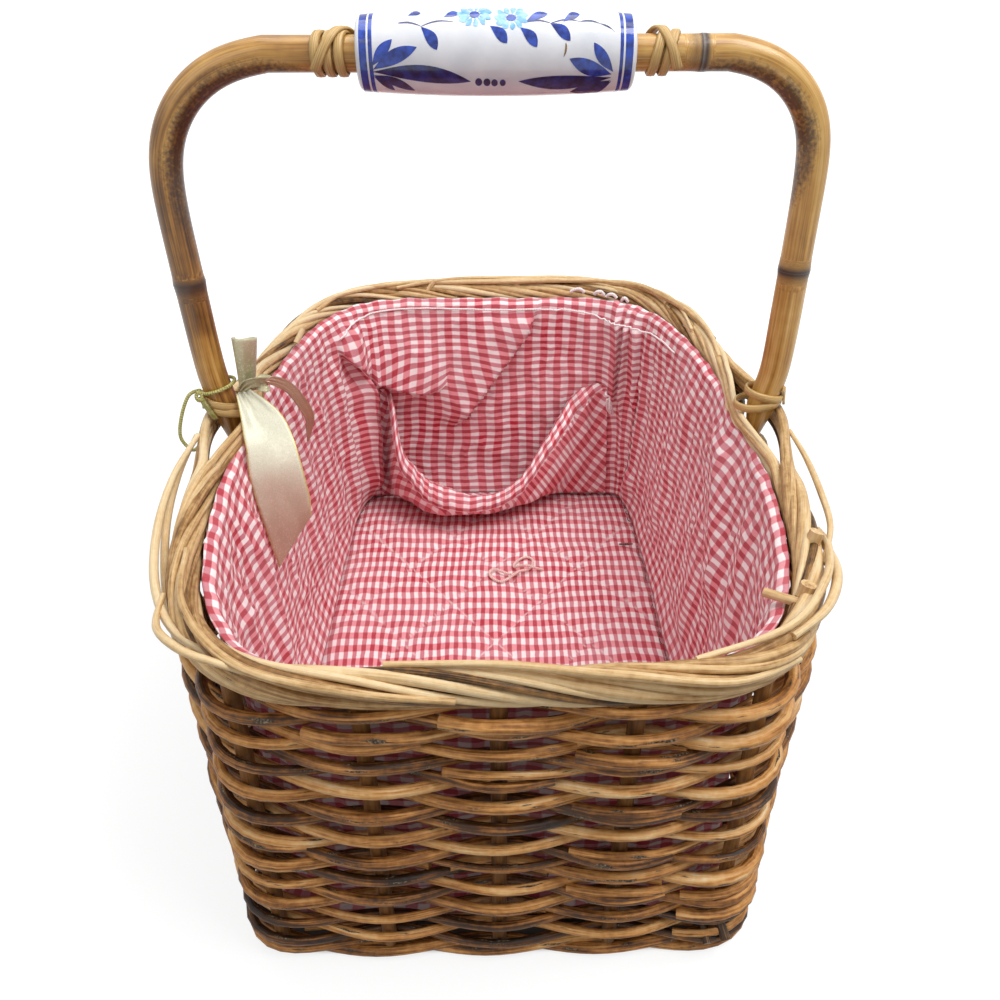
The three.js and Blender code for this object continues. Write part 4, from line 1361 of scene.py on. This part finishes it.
# Long folds: from one (station, height) to another, how far it stands in, and its soft and sharp widths.
# The soft side is on the right of the way from the first place to the second, seen from inside
FOLDS = (
    (6.6, 80, 5.25, 174, 8.5, 30, 2.4), (8.8, 150, 8.1, 124, 13.0, 20, 3.0),
    (8.15, 126, 6.8, 110, 12.0, 24, 3.0), (8.62, 14, 8.42, 122, 17.0, 15, 4.0),
    (9.0, 20, 9.1, 138, 6.0, 12, 6.0), (9.7, 30, 9.9, 130, 4.0, 15, 8), (4.06, 100, 3.98, 172, 7.0, 5, 2.4),
    (3.78, 92, 3.72, 174, 8.0, 5, 2.4), (3.42, 100, 3.5, 170, 6.0, 6, 3.0),
    (3.32, 14, 3.1, 46, 8.0, 9, 6), (22.75, 96, 24.1, 170, 8.0, 26, 13), (22.0, 60, 22.4, 150, 4.0, 18, 9),
    (1.9, 40, 1.4, 150, 3.5, 18, 10), (23.6, 40, 23.9, 120, 4.0, 18, 12),
    (13.6, 24, 13.2, 150, 7.0, 14, 7), (14.4, 30, 14.2, 140, 5.0, 12, 7), (11.0, 40, 10.7, 150, 4.5, 16, 9),
    (15.5, 30, 15.4, 140, 5.0, 12, 6), (20.5, 30, 20.6, 140, 5.0, 12, 6), (17.6, 40, 18.3, 120, 3.0, 16, 8),
)


# How far the deepest fold at a place stands in, and how far it leans over its sharp side
FOLD_LEAN = 0.75


def long_folds(station, height):
    deepest = 0.0
    lean = Vector((0, 0))
    for s0, h0, s1, h1, amount, soft, sharp in FOLDS:
        turn = (station - s0 + STATIONS / 2) % STATIONS - STATIONS / 2
        run = Vector(((s1 - s0) * STAKE_SPACING, h1 - h0))
        place = Vector((turn * STAKE_SPACING, height - h0))
        length = run.length
        along = run / length
        travelled = place.dot(along)
        if travelled < -25 or travelled > length + 25:
            continue
        across = place.x * along.y - place.y * along.x
        fade = smooth(travelled, -12, 14) * (1 - smooth(travelled, length - 14, length + 16))
        depth = amount * fade * bell(across, soft if across > 0 else sharp)
        if depth > deepest:
            deepest = depth
            hold = bell(across, 5 * sharp) if sharp < 5 else 0
            lean = Vector((-along.y, along.x)) * FOLD_LEAN * depth * hold
    return deepest, lean


# A shape round the wall that closes on itself where the stations start again
def joined(shape, station, height):
    station %= STATIONS
    value = shape(station, height)
    join = smooth(station, STATIONS - 1, STATIONS)
    return lerp(value, shape(station - STATIONS, height), join) if join else value


def liner_fold(station, height):
    level = height / RIM_HEIGHT
    corner = corner_weight(station)
    gather = 2.4 * corner * (0.5 + 0.5 * math.cos(2 * math.pi * station * 2.1 + 2.2 * level))
    slack = 1.1 * (1 + ripple(station * 1.1, level * 1.3, 3.0))
    crease = 0.9 * (1 + ripple(station * 3.4, level * 2.6, 8.0)) * (0.4 + 0.6 * corner)
    crumple = 1.5 * (1 - abs(ripple(station * 2.6 + 2 * level, level * 7 - station * 1.2, 5.0))) ** 4
    crumple += 0.8 * (1 - abs(ripple(station * 4.7 - 3 * level, level * 11 + station, 9.0))) ** 4
    settled = smooth(height, PAD_TOP - 4, PAD_TOP + 24)
    # The foot of the cloth lies over the edge of the pad
    spread = 5.0 * smooth(height, PAD_TOP - 2.5, PAD_TOP + 0.5) * bell(max(height - PAD_TOP - 1, 0), 11)
    return (gather + crease + crumple + long_folds(station, height)[0]) * settled + slack + spread


def liner_inner(station, height):
    near_top = smooth(height, LINER_TOP - 12, LINER_TOP)
    return liner_depth(station) + 0.5 + joined(liner_fold, station, height) * (1 - 0.55 * near_top)


# Rows above the lining's top that go out under the strands of the rim: height and share of the way
TUCK = ((1.2, 0.08), (2.4, 0.25), (3.4, 0.48), (4.2, 0.75))


def check_drift(station, height):
    pull = 2.6 * ripple(station * 0.7, height * 0.016, 12.0)
    pull += 1.0 * ripple(station * 2.1, height * 0.045, 2.0)
    slide = 5.0 * ripple(station * 0.6, height * 0.012, 15.0)
    slide += 2.0 * ripple(station * 1.9, height * 0.04, 6.0)
    return Vector((pull, slide))


def top_ruffle(station, height):
    return ripple(station * 3.1, height, 5.0)


# The lining's sewn seam is in the back right corner
SEAM_STATION = 3.3


LINING_STEPS = STATIONS * 20
LINING_ROWS = 84


def lining():
    stations = [SEAM_STATION + c * STATIONS / LINING_STEPS for c in range(LINING_STEPS + 1)]
    foot = PAD_BOTTOM + 1
    levels = [foot + (LINER_TOP - PAD_BOTTOM - 1) * i / LINING_ROWS for i in range(LINING_ROWS + 1)]
    points = []
    uvs = []
    for height in levels:
        for station in stations:
            lean = long_folds(station, height)[1] * smooth(LINER_TOP - height, 2, 16)
            moved = station + lean.x / STAKE_SPACING
            points.append(wall_at(moved, max(height + lean.y, foot), -liner_inner(station, height)))
            pull, slide = joined(check_drift, station, height)
            uvs.append(((height + pull) * MM, (station * STAKE_SPACING + slide) * MM))
    for rise, share in TUCK:
        for station in stations:
            parted = CANE_RADIUS + STRAND_RADIUS + 1.6
            strand = lerp(ROLL_HALF_WIDTH, parted, rim_opening(station)) + STRAND_RADIUS - 0.5
            ruffle = 0.5 * math.sin(2 * math.pi * station * 2.25) + 0.7 * joined(top_ruffle, station, 2.0)
            inner = liner_inner(station, LINER_TOP)
            depth = lerp(inner, strand, share)
            points.append(wall_at(station, LINER_TOP + rise + ruffle * share, -depth))
            pull, slide = joined(check_drift, station, LINER_TOP)
            over = math.hypot(rise, depth - inner)
            uvs.append(((LINER_TOP + over + pull) * MM, (station * STAKE_SPACING + slide) * MM))
    faces = grid_faces(len(levels) + len(TUCK), len(stations))
    # The first slot, the darker cloth, is painted shade on the lining's outer side
    piece = mesh_piece("gingham_lining", points, faces, [shaded_gingham, wall_gingham], uvs)
    thicken(piece, 0.5, 1.0).material_offset = 1
    settle(piece, "basket", "gingham", "liner_wall")


lining()


# Elastic thread along the top of the back wall, pulled straight across the gathers, and the white
# stitches that hold the cloth to the rim
ELASTIC = (
    (8.9, 158, 1.0), (8.5, 162, 1.2), (8.0, 164, 1.2), (7.2, 165, 1.0), (6.2, 164.5, 1.0), (5.3, 165, 1.2),
    (4.9, 164, 3.0), (4.4, 162, 5.5), (3.95, 159.5, 5.0), (3.5, 160, 3.0), (2.9, 161, 1.4), (2.3, 161, 1.0),
)
# Short white stitches on the inner side of the rim: two stations, how far in and how high
RIM_STITCHES = (
    (4.86, 4.66, 7.6, 176.0), (4.5, 4.34, 8.2, 175.0), (4.3, 4.12, 8.4, 174.0), (4.02, 3.9, 8.6, 173.0),
)


# The end of the pocket's elastic hangs in a loop at its right corner
POCKET_LOOP = (
    (4.16, 106, 2.5), (4.07, 108, 5.0), (3.99, 103, 6.5), (3.96, 95, 6.5), (4.01, 90, 5.5), (4.07, 96, 5.0),
    (4.05, 104, 4.5), (3.99, 97, 3.5), (3.95, 88, 2.0),
)


def over_lining(marks, samples):
    line = []
    for s, height, off in spline([Vector(mark) for mark in marks], samples):
        depth = max(liner_inner(s + near, height) for near in (-0.3, -0.15, 0, 0.15, 0.3))
        line.append(wall_at(s, height, -depth - off))
    return line


def elastic_thread():
    rods = [even_rod(over_lining(ELASTIC, 12), 0.62), even_rod(over_lining(POCKET_LOOP, 6), 0.75)]
    for first, last, inward, height in RIM_STITCHES:
        places = [(first, -2.0), (lerp(first, last, 0.3), 0.0), (lerp(first, last, 0.7), 0.3), (last, -2.0)]
        line = spline([wall_at(s, height + lift, -inward - 0.4 * lift) for s, lift in places], 5)
        rods.append(even_rod(line, 1.15))
    settle(rod_piece("elastic_thread", rods, 8, white_cord), "basket", "gingham")


elastic_thread()


# Frayed dark thread, its darkness partly painted shade of the gap, where the floor pad meets the wall and
# down the lining's seam, and a dark rod painted as the shade in a slit in the pad.
# Each run is its first and last station and how far apart its threads lie
THREAD_RADIUS = 0.34
SEAMS = ((1.2, 3.5, 0.55), (8.5, 9.2, 0.6), (22.6, 24.9, 0.5))
SLIT = ((88.5, 98.5, 19.4), (93.5, 98.0, 19.8), (98.5, 98.6, 19.5))


def seam_thread():
    rods = []
    for first, last, share in SEAMS:
        station = first
        count = 0
        while station < last:
            line = []
            for i in range(7):
                s = station + 0.1 * i / 6
                inward = liner_depth(s) + 8.4 + 1.6 * ripple(s * 9, count * 1.3, 4.0)
                height = PAD_TOP + 0.5 + 0.9 * ripple(s * 11, count * 0.7, 8.0)
                line.append(wall_at(s, height, -inward))
            rods.append(even_rod(line, THREAD_RADIUS))
            count += 1
            station += 0.1 + 0.16 * share * (1 + ripple(count * 0.9, 1.0, 2.0))
    for count in range(8):
        height = 38 + 9.5 * count
        marks = [(SEAM_STATION + 0.02 * ripple(count, i, 3.0), height + 1.6 * i) for i in range(4)]
        line = [wall_at(s, level, -liner_inner(s, level) - 0.15) for s, level in marks]
        rods.append(even_rod(line, THREAD_RADIUS))
    # The slit is a dark rod: painted shade inside the slit
    line = spline([Vector(place) for place in SLIT], 4)
    last = len(line) - 1
    radii = [0.3 + 0.6 * math.sin(math.pi * i / last) for i in range(last + 1)]
    rods.append((line, radii, [MID_TINT] * len(line)))
    settle(rod_piece("seam_thread", rods, 6, dark_thread), "basket", "gingham")


seam_thread()


# Floor pad: crowned, drawn in at the edge, quilted with slanting channels
QUILT_STEP = 46.0
QUILT_SLANT = 0.75
QUILT_DEPTH = 1.4
QUILT_WIDTH = 3.4
STITCH_STEP = 6.0
STITCH_LENGTH = 3.6
PAD_EDGE_DROP = 2.6
# The pad's side: how far out and how far below the top each row lies
PAD_SIDE = ((1.2, -3.6), (1.4, -5.6), (-1.5, -7.6))


def quilt_distance(x, y, sign):
    slant = (x + sign * QUILT_SLANT * y) / math.hypot(1, QUILT_SLANT)
    return slant - QUILT_STEP * round(slant / QUILT_STEP)


def floor_pad():
    around = STATIONS * 12
    rings = 72
    points = [Vector((0, 0, PAD_TOP - 0.4))]
    uvs = [(0, 0)]
    stitch = [0.0]
    rim = []
    for k in range(around):
        station = k * STATIONS / around
        rim.append(wall_at(station, PAD_BOTTOM, -liner_depth(station) - CLOTH - FIT - 1.6))
    for r in range(1, rings + 1):
        share = r / rings
        for k in range(around):
            x = rim[k].x * share
            y = rim[k].y * share
            first = quilt_distance(x, y, 1)
            second = quilt_distance(x, y, -1)
            channel = QUILT_DEPTH * max(bell(first, QUILT_WIDTH), bell(second, QUILT_WIDTH))
            puff = 0.7 * ripple(x * 0.05, y * 0.05, 1.0) + 0.4 * ripple(x * 0.13, y * 0.13, 4.0)
            border = PAD_EDGE_DROP * share**18
            points.append(Vector((x, y, PAD_TOP - 0.3 - channel + puff * (1 - share**8) - border)))
            wander = 2.2 * ripple(x * 0.02, y * 0.02, 9.0)
            uvs.append(((x + wander) * MM, (y - wander) * MM))
            dashed = 1.0 if y % STITCH_STEP < STITCH_LENGTH else 0.0
            stitch.append(0.6 * dashed * max(bell(first, 0.6), bell(second, 0.6)))
    for out, drop in PAD_SIDE:
        for k in range(around):
            scale = 1 + out / rim[k].xy.length
            points.append(Vector((rim[k].x * scale, rim[k].y * scale, PAD_TOP + drop)))
            uvs.append((rim[k].x * scale * MM, (rim[k].y * scale + drop) * MM))
            stitch.append(0.0)
    faces = [(0, 1 + k, 1 + (k + 1) % around) for k in range(around)]
    bands = grid_faces(rings + len(PAD_SIDE), around, wrap=True)
    faces += [tuple(1 + corner for corner in face[::-1]) for face in bands]
    last = 1 + (rings + len(PAD_SIDE) - 1) * around
    faces.append(tuple(last + k for k in reversed(range(around))))
    piece = mesh_piece("quilted_pad", points, faces, [pad_gingham], uvs)
    layer = piece.data.attributes.new("stitch", "FLOAT", "POINT")
    layer.data.foreach_set("value", stitch)
    settle(piece, "basket", "gingham", "floor_pad")


floor_pad()


# Back pocket: hung by its two upper corners. It drops steeply at the left, sags forward on to the pad and
# rises evenly to the right: its places across the basket at the foot and at the fold, and the sag there
HEM = (
    (-90, -87, 0.0), (-87, -81, 0.05), (-84, -77, 0.24), (-80, -74, 0.47), (-75, -70, 0.63), (-66, -61, 0.79),
    (-52, -47, 0.95), (-32, -28, 1.04), (-12, -10, 1.04), (6, 6, 0.98), (19, 17, 0.9), (30, 26, 0.8),
    (47, 43, 0.52), (70, 67, 0.15), (90, 89, -0.03),
)
# Rows of the pocket: up its front, then the gathered casing that stands back from the fold, and its
# turned edge
PANEL_ROWS = 35
CASING_ROWS = 12
POCKET_ROWS = [(i / (PANEL_ROWS - 1), 0.0) for i in range(PANEL_ROWS)]
POCKET_ROWS += [(1.0, i / CASING_ROWS) for i in range(1, CASING_ROWS + 1)]
CASING = 15.0
# How far the hem's middle hangs down, and the slant of the panel's checks in radians
HEM_DROP = 68
BIAS = 0.6


def back_pocket():
    hem_line = spline([Vector(mark) for mark in HEM], 18)
    columns = len(hem_line)
    points = []
    for climb, band in POCKET_ROWS:
        for foot_x, hem_x, hem_sag in hem_line:
            share = foot_x / POCKET_HALF_WIDTH
            sag = min(max(hem_sag, 0), 1)
            free = 1 - abs(share) ** 10
            casing = (CASING + 8 * bell(share + 0.5, 0.25)) * free
            foot = Vector((foot_x, CLOTH, PAD_TOP + 1.4))
            hem = Vector((hem_x, CLOTH + POCKET_FORWARD * sag, PAD_TOP + POCKET_HEIGHT - HEM_DROP * hem_sag))
            hung = foot.lerp(hem, 0.5)
            low = Vector((lerp(foot.x, hem_x, 0.6), POCKET_FORWARD * 0.9, PAD_TOP + 2.0))
            belly = hung.lerp(low, sag)
            place = foot * (1 - climb) ** 2 + belly * 2 * climb * (1 - climb) + hem * climb**2
            body = math.sin(math.pi * min(climb, 1))
            wave = math.sin(share * 27 + 2.0 * math.sin(share * 7)) + 0.6 * math.sin(share * 49 + 1.3)
            pleat = math.sin(share * 80 + 3 * math.sin(share * 11))
            drawn = smooth(climb, 0.4, 1.0) * (1 - 0.5 * band)
            ruffle = (1.3 * drawn * wave + 0.9 * smooth(climb, 0.85, 1.0) * pleat) * free
            slack = 4.0 * ripple(share * 3, climb * 2, 7.0) + 1.8 * ripple(share * 9, climb * 5, 2.0)
            back = casing * (0.62 * band - 0.28 * math.sin(math.pi * band))
            depth = max(place.y + ruffle + body * slack * free - back, 1.0)
            turned = smooth(band, 0.84, 1.0)
            rise = casing * (0.62 * min(band, 0.9) - 0.12 * turned)
            height = max(place.z + 0.8 * ruffle + rise, PAD_TOP + 0.9)
            inward = -0.45 * casing * band * (1 - sag) * (1 if share > 0 else -1.3)
            x = place.x + inward + 0.5 * ruffle
            station = QUARTER - x / STAKE_SPACING
            behind = lerp(liner_inner(station, height), liner_depth(station) + 4.0, smooth(depth, 4, 24))
            wall = wall_at(station, height, -behind)
            points.append(Vector((wall.x, wall.y - depth, height)))
    # The panel's checks hang on the bias; those of the gathered casing run along the hem
    panel = points[: PANEL_ROWS * columns]
    casing = points[(PANEL_ROWS - 1) * columns :]
    uvs = []
    for place in panel:
        side = 1.08 * place.x
        up = 0.85 * (place.y + place.z)
        upwards = side * math.sin(BIAS) + up * math.cos(BIAS)
        uvs.append((upwards * MM, (side * math.cos(BIAS) - up * math.sin(BIAS)) * MM))
    ups = [0.0] * columns
    sides = [0.0]
    for c in range(1, columns):
        sides.append(sides[-1] + (casing[c] - casing[c - 1]).length)
    for i, place in enumerate(casing):
        if i >= columns:
            ups[i % columns] += (place - casing[i - columns]).length
        uvs.append((ups[i % columns] * MM, sides[i % columns] * MM))
    shift = len(panel)
    faces = grid_faces(PANEL_ROWS, columns)
    faces += [tuple(k + shift for k in face) for face in grid_faces(len(casing) // columns, columns)]
    faces = [face[::-1] for face in faces]
    points = panel + casing
    piece = mesh_piece("back_pocket", points, faces, [wall_gingham], uvs)
    thicken(piece, 0.6)
    settle(piece, "basket", "gingham", "pocket")


back_pocket()


# Ribbon: strips through places, each with its half width, across one direction
RIBBON_FALL = 72
SATIN = 0.35
RIBBON_HALF = RIBBON_WIDTH / 2


def in_falls(x, y, z):
    return Vector((CANE_RADIUS - LEG_AT_RIM, 0, TIE_HEIGHT)) + Vector((x, y, z)) * RIBBON_FALL


def by_knot(x, y, z):
    return Vector((KNOT_X + x, y, TIE_HEIGHT + z))


TAIL = (
    (by_knot(3.6, -4.45, -1), 0.25), (in_falls(0.195, -0.222, -0.167), 0.74),
    (in_falls(0.273, -0.361, -0.285), 0.89), (in_falls(0.312, -0.458, -0.465), 1.0),
    (in_falls(0.351, -0.5, -0.715), 1.0), (in_falls(0.384, -0.514, -1), 0.89),
)
SHORT_TAIL = (
    (by_knot(7.5, 0, -1), 0.12), (in_falls(0.206, 0, 0.039), 0.2),
    (in_falls(0.352, 0.056, -0.05), 0.24), (in_falls(0.459, 0.083, -0.267), 0.26),
    (in_falls(0.453, 0.083, -0.39), 0.2), (in_falls(0.43, 0.083, -0.5), 0.05),
)
KNOT_LOOP = (
    (by_knot(3.4, -4.6, -0.5), 0.16), (by_knot(8, -6.6, 3.4), 0.3), (by_knot(13, -6.8, 4.6), 0.36),
    (by_knot(15.5, -4.8, 3.2), 0.36), (by_knot(12, -2.8, 1.2), 0.3), (by_knot(6.5, -2.2, -0.4), 0.2),
)


def ribbon_piece(name, places, across, cup, cut, material, *nodes):
    centres = spline([place for place, share in places], 10)
    halves = spline([Vector((share * RIBBON_HALF, 0, 0)) for place, share in places], 10)
    steps = 14
    points = []
    uvs = []
    travelled = 0.0
    for i, centre in enumerate(centres):
        along = (centres[min(i + 1, len(centres) - 1)] - centres[max(i - 1, 0)]).normalized()
        wide = (across - along * across.dot(along)).normalized()
        face = along.cross(wide)
        half = halves[i].x
        if i:
            travelled += (centre - centres[i - 1]).length
        end = smooth(i / (len(centres) - 1), 0.72, 1.0)
        for k in range(steps + 1):
            side = lerp(-1, 1, k / steps)
            wave = 0.7 * ripple(side * 1.5, travelled * 0.05, cup)
            pleat = 0.9 * math.sin(side * 9) * (1 - smooth(travelled, 4, 26))
            bend = face * (cup * (side * side - 0.5) + wave + pleat)
            points.append(centre + wide * side * half + bend - along * side * cut * end)
            uvs.append((side * RIBBON_HALF * MM, travelled * MM))
    piece = mesh_piece(name, points, grid_faces(len(centres), steps + 1), [material], uvs)
    thicken(piece, SATIN)
    settle(piece, "basket", "satin_ribbon", *nodes)
    return piece


# The ribbon's other end, rolled into a tube that stands above the knot
def ribbon_curl():
    around = 44
    up = 18
    start = TIE_HEIGHT - 3
    points = []
    uvs = []
    for r in range(up + 1):
        level = r / up
        for c in range(around + 1):
            turn = c / around
            angle = lerp(-3.6, 2.7, turn)
            radius = lerp(2.4, 5.6, level**0.7) + 1.3 * turn
            x = KNOT_X + 0.6 + radius + (1.3 * (1 - turn))
            pleat = 0.5 * math.sin(turn * 40) * (1 - level)
            height = start + (28 + 2.5 * math.sin(turn * 5)) * level
            reach = radius + pleat
            points.append(Vector((x + reach * math.cos(angle), reach * math.sin(angle), height)))
            uvs.append((turn * 26 * MM, level * 28 * MM))
    piece = mesh_piece("ribbon_curl_sheet", points, grid_faces(up + 1, around + 1), [pale_satin], uvs)
    thicken(piece, SATIN)
    settle(piece, "basket", "satin_ribbon", "ribbon_curl")


SIDEWAYS = Vector((1, 0, 0))
INWARDS = Vector((0.5, 0.85, 0))
UPWARDS = Vector((0.1, -0.5, 0.85))
tail = ribbon_piece("ribbon_tail_strip", TAIL, SIDEWAYS, 1.4, 15, champagne_satin, "ribbon_tail")
short_tail = ribbon_piece(
    "ribbon_short_strip", SHORT_TAIL, INWARDS, 0.4, 0, shaded_satin, "ribbon_short_tail"
)
knot_loop = ribbon_piece("ribbon_knot_loop", KNOT_LOOP, UPWARDS, 0.5, 0, pale_satin)
ribbon_curl()


# Floor and light: a pale sweep under large soft lamps, white away from the basket
def white_seen(tree):
    path = put(tree, "ShaderNodeLightPath").outputs
    seen = calc(tree, "MAXIMUM", path["Is Camera Ray"], path["Is Glossy Ray"])
    return calc(tree, "MAXIMUM", seen, path["Is Transmission Ray"])


def pale_floor():
    material, tree, bsdf = new_material("pale_floor")
    place = object_place(tree)
    reach = vector_calc(tree, "LENGTH", place)["Value"]
    away = remap(tree, reach, 0.25, 0.8, 0.8, 1.0, interpolation_type="SMOOTHSTEP")
    # Under the basket the floor stays in its shade
    folded = vector_calc(tree, "ABSOLUTE", place)[0]
    foot = (1 / (BASE_HALF_WIDTH * MM), 1 / (BASE_HALF_LENGTH * MM), 0.0)
    axes = split(tree, vector_calc(tree, "MULTIPLY", folded, foot)[0])
    wide, long = (calc(tree, "POWER", axes[name], BASE_PLAN_POWER) for name in ("X", "Y"))
    clear = remap(tree, calc(tree, "ADD", wide, long), 0.9, 1.1)
    glow = calc(tree, "MULTIPLY", calc(tree, "MULTIPLY", away, clear), white_seen(tree))
    feeds = {"Base Color": linear("#868686"), "Roughness": 0.9}
    feed(tree, bsdf, {**feeds, "Emission Color": linear("#ffffff"), "Emission Strength": glow})
    return material


# Each lamp is its name, place, size in metres and power in watts; all point at the basket's middle
LAMPS = (
    ("key", (0.75, -0.35, 1.6), 0.8, 18.5),
    ("fill", (-1.1, -1.1, 1.2), 1.2, 7),
    ("top", (-0.1, 0.3, 1.7), 1.0, 9),
)
LAMP_AIM = Vector((0, 0, 0.15))
FLOOR_SIZE = 40
FLOOR_DROP = 0.0004


def studio():
    bpy.ops.mesh.primitive_plane_add(size=FLOOR_SIZE, location=(0, 0, -FLOOR_DROP))
    floor = bpy.context.object
    floor.name = "floor"
    floor.data.materials.append(pale_floor())
    world = bpy.data.worlds.new("studio")
    scene.world = world
    world.use_nodes = True
    tree = world.node_tree
    tree.nodes.clear()
    level = remap(tree, white_seen(tree), to_low=0.4)
    sky = put(tree, "ShaderNodeBackground", {"Color": linear("#ffffff"), "Strength": level})
    put(tree, "ShaderNodeOutputWorld", {"Surface": sky.outputs[0]})
    for name, place, size, watts in LAMPS:
        data = bpy.data.lights.new(name, "AREA")
        data.size = size
        data.energy = watts
        lamp = bpy.data.objects.new(name, data)
        lamp.location = place
        lamp.rotation_euler = (LAMP_AIM - Vector(place)).to_track_quat("-Z", "Y").to_euler()
        scene.collection.objects.link(lamp)


studio()
scene.view_settings.view_transform = "Standard"
